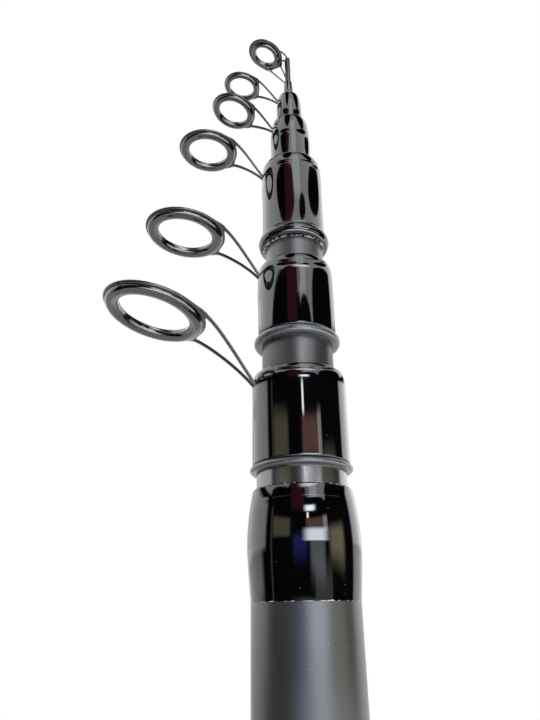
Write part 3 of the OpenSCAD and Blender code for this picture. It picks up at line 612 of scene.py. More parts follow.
def turned_metal():
    """Lathe-turned trim: bright metal with fine tool rings."""
    look = Finish("turned_metal", Metallic=1.0)
    tool = look.noise(1.0, (60, 60, 9000), 2.0)
    look.grain(tool, finishes().trim, dark=0.88, pale=1.08)
    return look.done(tool, rough=(0.18, 0.3), relief=0.008 * MM)


def moulded_cap():
    """Moulded butt cap: fine spark texture, scuffed paler towards its lower edge."""
    tone = finishes().cap
    look = Finish("moulded_cap", IOR=1.5)
    grain = look.noise(2200.0, detail=4.0)
    look.grain(grain, tone, dark=0.8, pale=1.2, span=(0.35, 0.65))
    look.lay(look.rubbed(500.0, 5.0, span=(0.45, 0.65)), scaled(tone, 4.0), strength=0.5)
    return look.done(grain, rough=(0.5, 0.66), relief=0.02 * MM)


def soft_rubber():
    """Gasket and pad: dull rubber with bloom."""
    look = Finish("soft_rubber", IOR=1.5)
    bloom = look.noise(650.0, detail=5.0)
    look.grain(bloom, finishes().rubber, dark=1.0, pale=2.2, span=(0.4, 0.7))
    return look.done(bloom, rough=(0.7, 0.88), relief=0.02 * MM)


@cache
def finish_of(look):
    """The material that a finish function makes, made once."""
    return look()


# Tubes and their coatings

def bore_of(size):
    """Radii and heights of a straight or tapered bore, from the top down."""
    return [(size.high_bore, size.high_z), (size.low_bore, size.low_z)]


def sleeve(node, edge, bore_edge=FINE_LEAD, rim_reach=FINE_RIM):
    """Turned sleeve, straight or tapered: its four-sided profile with rounded corners."""
    size = measured(node)
    corners = [(size.low_bore, size.low_z), (size.low_r, size.low_z),
               (size.high_r, size.high_z), (size.high_bore, size.high_z)]
    return turned(rounded(corners, [bore_edge, edge, edge, bore_edge]), rim_reach=rim_reach)


def solid_tip():
    """Solid tapered tip: a cone up to the step where it thins, then a straight pin, closed at both ends."""
    size, edge = measured("tip_blank"), shape().edge
    thin = size.height[size.radius < size.high_r + NEAR]
    step_z = thin[thin > size.low_z + NEAR].min()
    step_r = size.radius[np.abs(size.height - step_z) < NEAR].max()
    return turned([(size.low_r - edge, size.low_z), (size.low_r, size.low_z + edge), (step_r, step_z),
                   (size.high_r, step_z + edge), (size.high_r, size.high_z - edge),
                   (size.high_r - edge, size.high_z)], looped=False)


def ripple(angle, height, seed):
    """Slow unevenness of a brushed coating: three sine waves round and along the rod, from -1 to 1."""
    return (np.sin(2 * angle + 130 * height + seed) + np.sin(3 * angle - 210 * height + 2.1 * seed)
            + np.sin(5 * angle + 90 * height + 3.7 * seed)) / 3


def collar_skin():
    """Barrel at the butt's mouth: two power curves meet at its belly, with a rounded rim and a plain bore."""
    size, ledge_z = measured("butt_collar"), measured("butt_blank").high_z
    foot_power, mouth_power, seed = 1.3, 1.9, 1.3
    t = np.linspace(0, 1, 40)
    foot = np.stack([size.wide_r - (size.wide_r - size.low_r) * (1 - t) ** foot_power,
                     size.low_z + (size.wide_z - size.low_z) * t], 1)
    mouth = np.stack([size.wide_r - (size.wide_r - size.high_r) * t**mouth_power,
                      size.wide_z + (size.high_z - size.wide_z) * t], 1)
    lip = shape().edge * 2
    inside = [(size.high_r - lip, size.high_z), (size.high_bore + lip, size.high_z),
              (size.high_bore, size.high_z - lip), (size.high_bore, ledge_z), (size.low_bore, ledge_z),
              (size.low_bore, size.low_z)]
    outside = size.low_bore + NEAR

    def bump(angle, radius, height):
        return (radius > outside) * shape().ripple * ripple(angle, height, seed)

    return turned(np.concatenate([foot, mouth[1:-1], inside]), bump, rim_reach=0.8 * MM)


def wrap_skin(section, seed):
    """Coated wrap: a straight sleeve with an elliptic shoulder, its lower edge rounded, waved a little and
    raised over the guide's foot by a mound, the product of two bell curves round and along the rod."""
    size, eye, settings = measured(section + "_wrap"), guide_eye(section), shape()
    edge = 0.45 * (size.low_r - size.low_bore)
    bottom = arc((size.low_r - edge, size.low_z + edge), edge, -90, 0, rows=8)
    heights = np.linspace(size.low_z + edge, size.full_z, 92)[1:-1]
    straight = np.stack([np.full(len(heights), size.low_r), heights], 1)
    top = arc((size.high_r, size.full_z), (size.low_r - size.high_r, size.high_z - size.full_z), 0, 90, rows=36)
    outside = size.low_bore + 0.1 * MM
    crown = eye.foot_high - settings.mound_drop * size.low_r

    def bump(angle, radius, height):
        round_foot = bell(signed(angle - eye.azimuth) * size.low_r, settings.mound_width)
        mound = settings.mound * round_foot * bell(height - crown, settings.mound_reach)
        return (radius > outside) * (settings.ripple * ripple(angle, height, seed) + mound)

    return turned(np.concatenate([bottom, straight, top, bore_of(size)]), bump, steps=256, rim_reach=FINE_RIM)


def bead_skin(section):
    """Stop bead: half an ellipse on a short straight bore."""
    size = measured(section + "_stop_ring")
    half = (size.high_z - size.low_z) / 2
    bow = arc((size.low_r, size.low_z + half), (size.wide_r - size.low_r, half), -90, 90, rows=40)
    return turned(np.concatenate([bow, bore_of(size)]), rim_reach=FINE_RIM)


# Guides

LEG_SPREAD = math.radians(36)
TIP_LEGS = (math.radians(-82), math.radians(-30))
TIP_ARCH, TIP_BAR = math.radians(24), math.radians(-16)


def placed(shell, eye):
    """The same skin carried from the XYZ axes to an eye's axes and centre."""
    shell.points = shell.points @ eye.axes + eye.centre
    return shell


def ring_skin(eye):
    """Hard ring: half an ellipse from flange to bore on the butt side, a neck through the plate and a
    rounded top."""
    level = eye.low - 0.15 * eye.gauge
    half = (eye.flange - eye.bore) / 2
    face = arc((eye.bore + half, level), (half, level - eye.ring_low), 0, -180, rows=40)
    lead = min(0.45 * (eye.ring_high - level), 0.5 * (eye.neck - eye.bore))
    top = arc((eye.bore + lead, eye.ring_high - lead), lead, 180, 90, rows=10)
    neck = [(eye.neck, eye.ring_high - 0.2 * eye.gauge), (eye.neck, eye.low), (eye.flange, eye.low)]
    return placed(turned(np.concatenate([face, top, neck]), steps=128), eye)


def plate_skin(eye, leg_angles):
    """Eye plate: a flat ring with a full-round outer edge, drawn out by bell curves where the legs leave it."""
    edge, web_width = eye.gauge / 2, 2.6 * eye.gauge
    inner = eye.neck + RING_GAP
    outline = np.concatenate([
        arc((eye.outer - edge, eye.low + edge), edge, -90, 90, rows=14),
        [(inner + FINE_LEAD, eye.high), (inner, eye.high - FINE_LEAD), (inner, eye.low)]])

    def bump(angle, radius, height):
        reach = np.clip((radius - inner) / (eye.outer - inner), 0, 1)
        webs = sum(bell(signed(np.pi - angle - leg) * eye.outer, web_width) for leg in leg_angles)
        return shape().web * eye.gauge * reach * webs

    return placed(turned(outline, bump, steps=192), eye)


def eye_point(eye, radius, angle):
    """Point on the middle of the eye's plate, at an angle from the side next to the rod."""
    flat = np.array([-radius * math.cos(angle), radius * math.sin(angle), (eye.low + eye.high) / 2])
    return flat @ eye.axes + eye.centre


def guide_skins(section):
    """Guide frame: the eye's plate and two legs, each a curve from the plate to the foot and on under the wrap.
    A leg widens by a bell curve at the plate and thins a little towards its end."""
    eye, blank = guide_eye(section), measured(section + "_blank")
    wide, thick = 1.5 * eye.gauge, 0.75 * eye.gauge
    leave_pull, arrive_pull, flare, flare_length, thinning = 0.17, 0.25, 0.9, 0.06, 0.15
    rise = (eye.foot_low - blank.low_z) / (blank.high_z - blank.low_z)
    foot_x = blank.low_r + (blank.high_r - blank.low_r) * rise + eye.gauge / 4
    foot_z = eye.foot_high - 0.35 * wide
    arrive = eye.out * 0.6 + UP * 0.8
    shells = [plate_skin(eye, (-LEG_SPREAD, LEG_SPREAD))]
    for side in (-1, 1):
        root = eye_point(eye, eye.outer, side * LEG_SPREAD)
        foot = eye.out * foot_x + eye.across * side * wide / 2 + UP * foot_z
        reach = np.linalg.norm(root - foot)
        leave = unit(-eye.axes[0] - eye.axes[1] * side * math.sin(LEG_SPREAD) / 3)
        leg = bezier(root, root + leave * reach * leave_pull, foot + arrive * reach * arrive_pull, foot, rows=40)
        under = foot - UP * np.linspace(0.2 * MM, (foot_z - eye.foot_low) * 0.8, 12)[:, None]
        path = np.concatenate([leg, under])
        t = np.linspace(0, 1, len(path))
        half = wide / 2 * (1 + flare * bell(t, flare_length) - thinning * t)
        shells.append(swept(path, eye.across, half, thick / 2))
    return shells


def tip_skins():
    """Tip-top: the eye's plate on two straight legs, an arched brace and a bar, all on a domed tube over the
    tip. A leg widens by a bell curve at the plate."""
    eye, wrap, size = guide_eye("tip"), measured("tip_wrap"), measured("tip_top_frame")
    tube_r, dome = wrap.low_bore - GLUE_GAP, 0.45 * MM
    on_tube = size.height[size.radius < tube_r + NEAR]
    tube_low, tube_high = on_tube.min(), on_tube.max()
    thick, flare, flare_length = 0.4 * eye.gauge, 1.2, 0.12
    shells = [plate_skin(eye, TIP_LEGS)]
    for angle, side, foot_rise in zip(TIP_LEGS, (-1, 1), (0.6 * MM, 2.8 * MM)):
        root = eye_point(eye, eye.outer, angle)
        foot = eye.out * tube_r + eye.across * side * tube_r / 2 + UP * (wrap.high_z + foot_rise)
        t = np.linspace(0, 1, 30)
        half = (1.5 - 0.45 * t + flare * bell(t, flare_length)) * eye.gauge / 2
        shells.append(swept(np.linspace(root, foot, len(t)), eye.axes[1], half, thick))
    foot = UP * (tube_high - 0.1 * MM)
    arch_root, bar_root = (eye_point(eye, eye.outer - eye.gauge / 2, angle) for angle in (TIP_ARCH, TIP_BAR))
    rise = arch_root[2] - foot[2]
    pull = (eye.out * -0.57 + eye.across * 0.29 + UP * 0.36) * rise
    arch = bezier(arch_root, arch_root + pull, foot + UP * rise * 1.1, foot, rows=40)
    for path in (arch, np.linspace(bar_root, foot, 20)):
        shells.append(swept(path, eye.across, np.linspace(0.5, 0.4, len(path)) * eye.gauge, thick))
    bore = measured("tip_blank").high_r + GLUE_GAP
    crown = arc((0, tube_high - dome), (tube_r, dome), 0, 90, rows=8)[:-1]
    shells.append(turned([(bore, tube_low), (tube_r, tube_low), *crown], steps=64, looped=False))
    return shells


# Handle

def outer_wall(size, low_r, high_r, edge, middle=(), rows=EDGE_STEPS):
    """Radii and heights of an outer wall: a quarter-round edge, what lies in the middle, and another edge."""
    turn = arc((-edge, edge), edge, -90, 0, rows)
    low = [(low_r + inset, size.low_z + rise) for inset, rise in turn]
    high = [(high_r + inset, size.high_z - rise) for inset, rise in turn[::-1]]
    return [*low, *middle, *high]


def flutes(size, parts, ramp, depth, places, width):
    """Levels of a wall with scooped flutes, at parts of its height. Each of the places round it has a raised
    cosine dip, which takes the width's share of the place on either side. The dips deepen and run out along
    the ramp."""
    wave = (angles(shape().steps) * places / (2 * np.pi)) % 1.0 - 0.5
    dip = np.where(np.abs(wave) < width, 0.5 + 0.5 * np.cos(np.pi * wave / width), 0)
    long = size.high_z - size.low_z
    return [(size.wide_r - depth * plateau(part, *ramp) * dip, size.low_z + long * part) for part in parts]


def pocket_radii(reach, radius):
    """Radii round Z of a circle that stands off the axis towards -X, and 0 where a ray misses it."""
    along = -reach * np.cos(angles(shape().steps))
    inside = along**2 - reach**2 + radius**2
    return np.where(inside > 0, along + np.sqrt(np.maximum(inside, 0)), 0)


def hood_skin(node, opens_up):
    """Hood: a sleeve round the axis joined to a humped pocket that is open at one end. The outer radius is the
    larger of the two, with a soft change-over: half their sum plus half the root of their squared difference
    and a squared softness."""
    size, wall, pocket = measured(node), shape().hood_wall, shape().pocket_radius
    soft, edge, straight_rows = 0.8 * MM, 0.7 * MM, 16
    reach = -size.x.min() - pocket - wall
    plain, hump = size.bore + wall, pocket_radii(reach, pocket + wall)
    outer = (plain + hump + np.sqrt((plain - hump) ** 2 + soft**2)) / 2
    outer = outer * plain / outer.min()
    inner = np.maximum(size.bore, pocket_radii(reach, pocket))
    straight = np.linspace(size.low_z + edge, size.high_z - edge, straight_rows + 2)[1:-1]
    way = 1 if opens_up else -1
    shut_z, open_z = (size.low_z, size.high_z)[::way]
    floor_z = open_z - way * shape().pocket_depth
    inside = [(inner + LEAD, open_z), (inner, open_z - way * LEAD), (inner, floor_z), (size.bore, floor_z),
              (size.bore, shut_z)][::way]
    outside = outer_wall(size, outer, outer, edge, [(outer, z) for z in straight])
    return lofted(outside + inside, rim_reach=0.8 * MM)


def nut_skin():
    """Lock nut: a ring with scooped flutes that run out before its rounded ends."""
    size = measured("lock_nut")
    scoops = flutes(size, np.linspace(0.12, 0.88, 20), ramp=(0.12, 0.26, 0.74, 0.88), depth=1.5 * MM,
                    places=shape().nut_flutes, width=0.45)
    inside = [(size.bore + LEAD, size.high_z), (size.bore, size.high_z - LEAD),
              (size.bore, size.low_z + LEAD), (size.bore + LEAD, size.low_z)]
    outside = outer_wall(size, size.wide_r, size.wide_r, edge=0.6 * MM, middle=scoops)
    return lofted(outside + inside, rim_reach=0.7 * MM)


def seat_skins():
    """Reel seat: a plain barrel with a helical thread, and the flat bed that the reel foot lies on, dropped at
    its two ends. The thread's ridge is a plateau of the fraction left of height over pitch minus the turn."""
    size, settings, edge = measured("reel_seat_body"), shape(), shape().edge
    core = size.low_r
    crest = size.radius[size.x > 0].max() - core
    thread_z = size.high_z - settings.thread_length
    rows = np.concatenate([[thread_z], np.arange(thread_z, size.high_z - 2 * edge, 0.2 * MM)])
    barrel = [(core - edge, size.low_z), (core, size.low_z + edge), *[(core, z) for z in rows],
              (core, size.high_z - edge), (core - edge, size.high_z), *bore_of(size)]

    def bump(angle, radius, height):
        turn = ((height - thread_z) / settings.thread_pitch - angle / (2 * np.pi)) % 1.0
        ridge = plateau(turn, 0.05, 0.3, 0.6, 0.85)
        run = plateau(height, thread_z + 0.2 * MM, thread_z + 2 * MM,
                      size.high_z - 3 * MM, size.high_z - 1.2 * MM)
        return (radius > core - NEAR) * crest * ridge * run

    half, bed_x, root_x, ramp = settings.bed_width / 2, size.x.min(), -core * 0.75, 0.8 * MM
    ring = rounded([(root_x, half), (bed_x, half), (bed_x, -half), (root_x, -half)],
                   [0.1 * MM, 1.2 * MM, 1.2 * MM, 0.1 * MM])
    bed_z = size.low_z + settings.bed_low
    heights = np.array([bed_z, bed_z, bed_z + ramp, thread_z - ramp, thread_z, thread_z])[:, None]
    drop = np.array([ramp, 0.5 * MM, 0, 0, 0.5 * MM, ramp])[:, None]
    bed = np.broadcast_arrays(np.maximum(ring[:, 0], bed_x + drop), ring[:, 1], heights)
    return [turned(barrel, bump), skin(np.stack(bed, -1))]


def grip_skin(node):
    """Turned grip: a straight taper between two rounded shoulders, with two fine finger grooves, bell curves,
    near each end."""
    size, edge = measured(node), 2 * MM
    groove_depth, groove_width, groove_places = 0.45 * MM, 0.55 * MM, (7 * MM, 10 * MM)
    long = size.high_z - size.low_z
    low_r = size.radius[size.height < size.low_z + 0.1 * long].max()
    high_r = size.radius[size.height > size.high_z - 0.1 * long].max()
    height = np.linspace(size.low_z + edge, size.high_z - edge, 260)[1:-1]
    taper = low_r + (high_r - low_r) * (height - size.low_z) / long
    to_end = np.minimum(height - size.low_z, size.high_z - height)
    grooves = sum(bell(to_end - place, groove_width) for place in groove_places)
    body = np.stack([taper - groove_depth * grooves, height], 1)
    return turned(outer_wall(size, low_r, high_r, edge, body, rows=10) + bore_of(size), rim_reach=2.5 * MM)


def ferrule_skin():
    """Threaded ferrule with a flange: a stepped profile whose thin end carries fine ridges, a cosine wave."""
    size = measured("butt_ferrule")
    pitch, ridge_depth, edge, head_depth = 2.5 * MM, 0.35 * MM, 0.35 * MM, 1 * MM
    flange_z = size.height[size.radius > size.low_r + NEAR].min()
    height = np.linspace(size.low_z + 0.6 * MM, flange_z - 1.2 * MM, 150)
    valley = 0.5 + 0.5 * np.cos(2 * np.pi * (height - size.low_z) / pitch)
    thread = np.stack([size.low_r - ridge_depth * valley, height], 1)
    head = rounded([(size.high_r - head_depth, flange_z), (size.high_r, flange_z),
                    (size.high_r, size.high_z), (size.high_r - head_depth, size.high_z)], [0.0, edge, edge, 0.0])
    return turned([(size.low_r - 0.4 * MM, size.low_z), *thread, (size.low_r, flange_z), *head, *bore_of(size)])


def cap_skin():
    """Screw-on cap: a cup with a dished floor, a rounded floor edge and scooped flutes round its side."""
    size = measured("butt_cap")
    outer, bore, low_z, high_z = size.wide_r, size.high_bore, size.low_z, size.high_z
    dish, lip, edge = 0.5 * MM, 0.4 * MM, 2 * MM
    floor_z = size.height[(size.radius < bore + NEAR) & (size.height > low_z + NEAR)].min()
    floor = [(0.55 * outer, low_z + dish), (0.6 * outer, low_z)]
    turn = arc((outer - edge, low_z + edge), edge, -90, 0, rows=8)
    scoops = flutes(size, np.linspace(0.15, 0.95, 26), ramp=(0.18, 0.3, 0.78, 0.9), depth=0.55 * MM,
                    places=shape().cap_flutes, width=0.3)
    mouth = [(outer, high_z - lip), (outer - lip, high_z), (bore + FINE_LEAD, high_z),
             (bore, high_z - FINE_LEAD), (bore, floor_z)]
    return lofted([*floor, *turn, *scoops, *mouth], rim_reach=2 * MM, looped=False, top_rim=False)


def disc(node, edge):
    """Solid disc with quarter-round edges, closed by two caps."""
    size = measured(node)
    return turned(outer_wall(size, size.low_r, size.high_r, edge), looped=False)


# Operators

class ROD_OT_blanks(bpy.types.Operator):
    """Build the satin tubes and the solid tip"""

    bl_idname = "rod.blanks"
    bl_label = "Blanks"

    def execute(self, context):
        edge = shape().edge
        for part in ("butt",) + TUBES:
            look = sleek_graphite if part == TUBES[0] else satin_graphite
            dress(part + "_blank", look, sleeve(part + "_blank", edge, edge, RIM_REACH))
        dress("tip_blank", satin_graphite, solid_tip())
        return {"FINISHED"}


class ROD_OT_coatings(bpy.types.Operator):
    """Build the gloss collar and the wraps over the guide feet"""

    bl_idname = "rod.coatings"
    bl_label = "Collar and wraps"

    def execute(self, context):
        dress("butt_collar", gloss_epoxy, collar_skin())
        for place, section in enumerate(TUBES):
            dress(section + "_wrap", gloss_epoxy, wrap_skin(section, seed=1.7 * place))
        dress("tip_wrap", gloss_epoxy, sleeve("tip_wrap", edge=0.25 * MM))
        return {"FINISHED"}


class ROD_OT_beads(bpy.types.Operator):
    """Build the stop beads under the wraps"""

    bl_idname = "rod.beads"
    bl_label = "Stop beads"

    def execute(self, context):
        for section in BEADED:
            look = gloss_epoxy if section == BEADED[-1] else satin_bead
            dress(section + "_stop_ring", look, bead_skin(section))
        return {"FINISHED"}


class ROD_OT_guides(bpy.types.Operator):
    """Build the guide frames and their hard rings"""

    bl_idname = "rod.guides"
    bl_label = "Guides"

    def execute(self, context):
        for section in TUBES:
            dress(section + "_guide_frame", dark_chrome, *guide_skins(section))
            dress(section + "_guide_ring", polished_ring, ring_skin(guide_eye(section)))
        return {"FINISHED"}


class ROD_OT_tip_top(bpy.types.Operator):
    """Build the tip-top with its ring"""

    bl_idname = "rod.tip_top"
    bl_label = "Tip-top"

    def execute(self, context):
        dress("tip_top_frame", dark_chrome, *tip_skins())
        dress("tip_top_ring", polished_ring, ring_skin(guide_eye("tip")))
        return {"FINISHED"}


class ROD_OT_grips(bpy.types.Operator):
    """Build the foam grips and the metal trim next to them"""

    bl_idname = "rod.grips"
    bl_label = "Grips and trim"

    def execute(self, context):
        for node in ("rear_grip", "fore_grip"):
            dress(node, grip_foam, grip_skin(node))
        for node in ("trim_ring", "winding_check"):
            dress(node, turned_metal, sleeve(node, edge=0.4 * MM))
        return {"FINISHED"}


class ROD_OT_reel_seat(bpy.types.Operator):
    """Build the reel seat, its two hoods and its lock nut"""

    bl_idname = "rod.reel_seat"
    bl_label = "Reel seat"

    def execute(self, context):
        dress("reel_seat_body", graphite_plastic, *seat_skins())
        dress("fixed_hood", anodised_metal, hood_skin("fixed_hood", opens_up=True))
        dress("sliding_hood", anodised_metal, hood_skin("sliding_hood", opens_up=False))
        dress("lock_nut", anodised_metal, nut_skin())
        return {"FINISHED"}


class ROD_OT_butt_end(bpy.types.Operator):
    """Build the ferrule, the screw-on cap, its gasket and the pad inside it"""

    bl_idname = "rod.butt_end"
    bl_label = "Butt end"

    def execute(self, context):
        dress("butt_ferrule", anodised_metal, ferrule_skin())
        dress("butt_cap", moulded_cap, cap_skin())
        dress("cap_gasket", soft_rubber, sleeve("cap_gasket", edge=0.3 * MM))
        dress("bumper_pad", soft_rubber, disc("bumper_pad", edge=0.8 * MM))
        return {"FINISHED"}


# The studio's walls and windows: turn from, to and softness, rise from, to and softness, all in degrees, and
# level. Turn runs from straight behind the camera to the camera's right.
WALLS = {
    "sky": (-150, 150, 4, 25.4, 62, 0.8, 1.9),
    "zenith": (-200, 200, 6, 62, 120, 4, 1.0),
    "left wall": (-150, -84, 4, 2, 21.5, 1.5, 1.6),
    "left wall step": (-152, -94, 7, -6, 2, 2.5, 1.1),
    "left wall foot": (-152, -105, 8, -120, -6, 3, 0.75),
    "left edge": (-72, -68, 1.2, -12, 21, 1.2, 0.3),
    "right wall": (109, 152, 4, 4, 21.5, 1.5, 2.2),
    "right wall foot": (109, 152, 4, -120, 4, 2, 1.4),
}
WINDOWS = {
    "lamp streak": (3.5, 7.5, 1, 17.8, 20.5, 0.5, 12.0),
    "lamp bar": (1, 21, 6, 21.3, 24, 0.6, 13.0),
    "upper bar": (-6, 40, 10, 32.6, 35.2, 0.5, 6.0),
    "high window": (3, 30, 2, 28.7, 32.5, 0.5, 1.2),
    "top window": (2, 29, 2, 38, 54, 0.8, 1.2),
    "window edge": (38, 47, 1.5, 11, 18, 1, 2.0),
    "low window": (2, 42, 4, 13.5, 17.5, 1, 0.65),
    "pane": (0, 42, 10, 5, 12.4, 1.4, 9.0),
    "pane foot": (9, 38, 4, -6, 5, 3, 1.0),
    "right pane": (50, 82, 6, -2, 12.5, 3, 1.3),
    "blue pane": (-24, 2, 5, -3, 9.5, 3, 0.38),
    "red curtain": (-28, 0, 4, 22, 47, 2, 0.12),
    "low stripe": (17, 53, 3, -12, -4, 3, 0.45),
    "low glow": (-22, 52, 24, -26, -11, 2, 7.5),
    "low side glow": (52, 112, 8, -26, -11, 2, 4.5),
    "left window": (-66, -31, 4, 9, 17.5, 1.2, 0.6),
}
PLAIN_TINT = (0.97, 0.985, 1.0)
COOL_TINT = (0.92, 1.0, 1.1)
EARTH_TINT = (1.1, 1.0, 0.65)
TINTS = {
    "low window": (1.5, 0.8, 0.7), "red curtain": (2.0, 0.35, 0.45), "blue pane": (0.3, 0.35, 2.3),
    "left window": EARTH_TINT, "right pane": EARTH_TINT,
    "pane": COOL_TINT, "pane foot": COOL_TINT, "low glow": COOL_TINT,
    "lamp bar": COOL_TINT, "upper bar": COOL_TINT,
}
# Dark oval screens in front of the walls: turn and half turn, rise and half rise, in degrees.
SCREENS = {
    "left low": (-32, 46, 25.8, 6.0),
    "left crown": (-12, 25, 31.0, 3.5),
    "right low": (85, 38, 27.0, 7.2),
    "left middle": (-28, 35, 38.3, 2.9),
    "right middle": (92, 32, 38.3, 2.6),
    "left high": (-34, 26, 42.8, 1.6),
    "right high": (112, 22, 42.4, 1.3),
    "left top": (-34, 30, 45.6, 1.3),
    "right top": (72, 36, 45.6, 1.3),
    "left upper": (-20, 24, 66, 18),
    "right upper": (82, 34, 66, 20),
    "centre low": (24, 19, 25.4, 3.2),
    "centre middle": (34, 12, 36.8, 1.4),
}
SCREEN_EDGE = (0.85, 1.1)
# The wall behind the rod starts at this turn, with this softness and level.
FAR_TURN, FAR_SOFT, FAR_LEVEL = 152, 4, 1.2
# The soft lamps: place, width and share of the fill's power. All face the rod's middle.
FILL_LAMPS = {
    "fill_right": ((0.9, -1.1, 1.3), 1.2, 1.0),
    "fill_left": ((-1.3, -0.7, 1.1), 1.4, 0.35),
    "fill_far": ((0.3, 1.5, 1.5), 1.6, 0.8),
}
LIT_PLACE = np.array([0.0, 0.0, 0.45])
SENSOR_WIDTH, CLIP_START, CLIP_END = 36.0, 0.005, 100.0
FLOOR_CORNERS = 96
WHITE = (1.0, 1.0, 1.0, 1.0)


def studio_world(settings):
    """White for the camera. For light and reflections: white walls and a pale sky with dark screens in front of
    them, and a dark side behind the camera with the panes of a window in it."""
    world = bpy.data.worlds.new("studio")
    world.use_nodes = True
    nodes = Nodes(world.node_tree)
    right, up = np.array(settings.right), np.array(settings.up)
    level_back, level_right = (unit(axis * (1, 1, 0)) for axis in (np.cross(right, up), right))
    way = nodes.add("ShaderNodeTexCoord").outputs["Generated"]

    def along(axis):
        return nodes.vectors("DOT_PRODUCT", {0: way, 1: tuple(axis)}, "Value")

    def degrees(radians):
        return nodes.maths("MULTIPLY", radians, 180 / math.pi)

    def band(value, low, high, soft):
        return nodes.maths("MULTIPLY", nodes.step(value, low - soft, low + soft),
                           nodes.step(value, high - soft, high + soft, 1.0, 0.0))

    def squared(value, middle, half):
        from_middle = nodes.maths("DIVIDE", nodes.maths("SUBTRACT", value, middle), half)
        return nodes.maths("MULTIPLY", from_middle, from_middle)

    def lit(panels, light):
        for name, (turn_low, turn_high, turn_soft, rise_low, rise_high, rise_soft, level) in panels.items():
            mask = nodes.maths("MULTIPLY", band(turn, turn_low, turn_high, turn_soft),
                               band(rise, rise_low, rise_high, rise_soft))
            tint = scaled(TINTS.get(name, PLAIN_TINT), settings.bright * level)
            light = nodes.vectors("MULTIPLY_ADD", {0: mask, 1: tint, 2: light})
        return light

    turn = degrees(nodes.maths("ARCTAN2", along(level_right), along(level_back)))
    rise = degrees(nodes.maths("ARCSINE", along(UP)))
    light = nodes.step(nodes.maths("ABSOLUTE", turn), FAR_TURN - FAR_SOFT, FAR_TURN + FAR_SOFT, settings.dark,
                       settings.bright * FAR_LEVEL)
    light = lit(WALLS, light)
    for turn_mid, turn_half, rise_mid, rise_half in SCREENS.values():
        away = nodes.maths("ADD", squared(turn, turn_mid, turn_half), squared(rise, rise_mid, rise_half))
        light = nodes.vectors("SCALE", {0: light, "Scale": nodes.step(away, *SCREEN_EDGE)})
    light = lit(WINDOWS, light)
    glow = nodes.add("ShaderNodeBackground", {"Color": light, "Strength": 1.0})
    white = nodes.add("ShaderNodeBackground", {"Color": WHITE, "Strength": 1.0})
    seen = nodes.add("ShaderNodeLightPath").outputs["Is Camera Ray"]
    both = nodes.add("ShaderNodeMixShader", {0: seen, 1: glow.outputs[0], 2: white.outputs[0]})
    nodes.add("ShaderNodeOutputWorld", {"Surface": both.outputs[0]})
    return world


def floor_material(settings):
    """Matte pale floor with a barely seen grain. For the camera it fades to white away from the rod."""
    look = Finish("studio_floor", Roughness=0.9)
    look.grain(look.noise(9.0, detail=3.0), settings.floor, dark=0.985, pale=1.0)
    look.tree.links.new(look.body, look.surface.inputs["Base Color"])
    away = look.vectors("LENGTH", {0: look.coords()}, "Value")
    far = look.step(away, settings.floor_fade, settings.floor_radius * 0.9)
    seen = look.add("ShaderNodeLightPath").outputs["Is Camera Ray"]
    white = look.add("ShaderNodeEmission", {"Color": WHITE, "Strength": 1.0})
    both = look.add("ShaderNodeMixShader", {0: look.maths("MULTIPLY", far, seen), 1: look.surface.outputs[0],
                                            2: white.outputs[0]})
    look.tree.links.new(both.outputs[0], look.output.inputs[0])
    return look.material


def stand(name, data, axes, place):
    """New camera or lamp at a place, turned to its right, up and backward axes."""
    thing = bpy.data.objects.new(name, data)
    basis = np.eye(4)
    basis[:3] = np.stack([*axes, np.array(place)], 1)
    thing.matrix_world = Matrix(basis.tolist())
    bpy.context.scene.collection.objects.link(thing)
    return thing


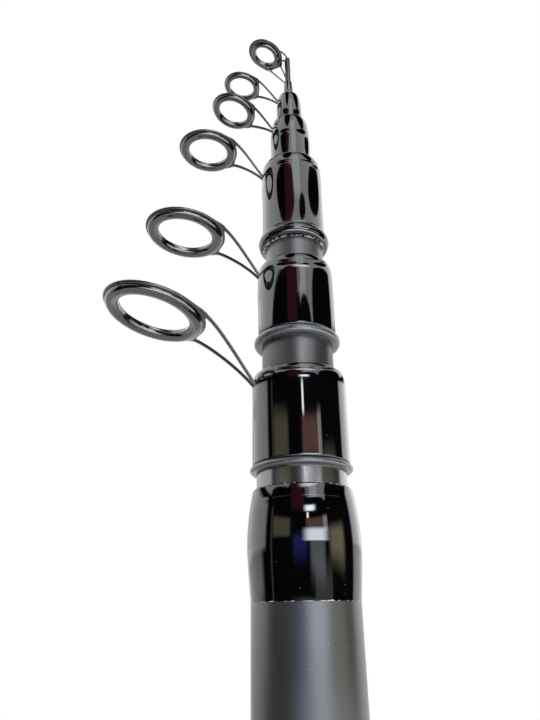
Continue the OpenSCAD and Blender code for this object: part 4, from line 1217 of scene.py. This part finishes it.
class ROD_OT_stage(bpy.types.Operator):
    """Set the camera, the soft lamps, the pale floor and the studio's walls"""

    bl_idname = "rod.stage"
    bl_label = "Stage"

    def execute(self, context):
        settings, scene = studio(), context.scene
        scene.view_settings.view_transform = "Standard"
        scene.world = studio_world(settings)
        camera = bpy.data.cameras.new("picture")
        camera.lens, camera.sensor_width = settings.lens, SENSOR_WIDTH
        camera.clip_start, camera.clip_end = CLIP_START, CLIP_END
        right, up = np.array(settings.right), np.array(settings.up)
        scene.camera = stand("picture", camera, (right, up, np.cross(right, up)), settings.eye)
        angle = angles(FLOOR_CORNERS)
        corners = np.stack([np.cos(angle), np.sin(angle), 0 * angle], 1) * settings.floor_radius
        mesh = bpy.data.meshes.new("floor")
        mesh.from_pydata(corners.tolist(), [], [range(FLOOR_CORNERS)])
        mesh.materials.append(floor_material(settings))
        floor = bpy.data.objects.new("floor", mesh)
        scene.collection.objects.link(floor)
        # The floor goes with the cap's end, so that the rod still stands on it when the cap is unscrewed.
        floor.parent = frame["bodies"]["cap_seal"]
        for name, (place, size, part) in FILL_LAMPS.items():
            lamp = bpy.data.lights.new(name, "AREA")
            lamp.shape, lamp.size, lamp.energy = "DISK", size, settings.fill * part
            back = unit(place - LIT_PLACE)
            side = unit(np.cross(UP, back))
            stand(name, lamp, (side, np.cross(back, side), back), place).visible_glossy = False
        return {"FINISHED"}


class ROD_PT_panel(bpy.types.Panel):
    """Shows the settings and the steps that build the rod"""

    bl_idname = "ROD_PT_panel"
    bl_label = "Telescopic rod"
    bl_space_type = "VIEW_3D"
    bl_region_type = "UI"
    bl_category = "Rod"

    def draw(self, context):
        for settings in (shape(), finishes(), studio()):
            box = self.layout.box()
            for name in settings.__annotations__:
                box.prop(settings, name)
        for step in STEPS:
            self.layout.operator(step.bl_idname)


STEPS = (ROD_OT_blanks, ROD_OT_coatings, ROD_OT_beads, ROD_OT_guides, ROD_OT_tip_top, ROD_OT_grips,
         ROD_OT_reel_seat, ROD_OT_butt_end, ROD_OT_stage)
CLASSES = (RodShape, RodFinish, RodStudio) + STEPS + (ROD_PT_panel,)


def register():
    for each in CLASSES:
        bpy.utils.register_class(each)
    bpy.types.Scene.rod_shape = PointerProperty(type=RodShape)
    bpy.types.Scene.rod_finish = PointerProperty(type=RodFinish)
    bpy.types.Scene.rod_studio = PointerProperty(type=RodStudio)


def unregister():
    del bpy.types.Scene.rod_shape, bpy.types.Scene.rod_finish, bpy.types.Scene.rod_studio
    for each in reversed(CLASSES):
        bpy.utils.unregister_class(each)


def main():
    register()
    bpy.ops.rod.blanks()
    bpy.ops.rod.coatings()
    bpy.ops.rod.beads()
    bpy.ops.rod.guides()
    bpy.ops.rod.tip_top()
    bpy.ops.rod.grips()
    bpy.ops.rod.reel_seat()
    bpy.ops.rod.butt_end()
    bpy.ops.rod.stage()


if __name__ == "__main__":
    main()
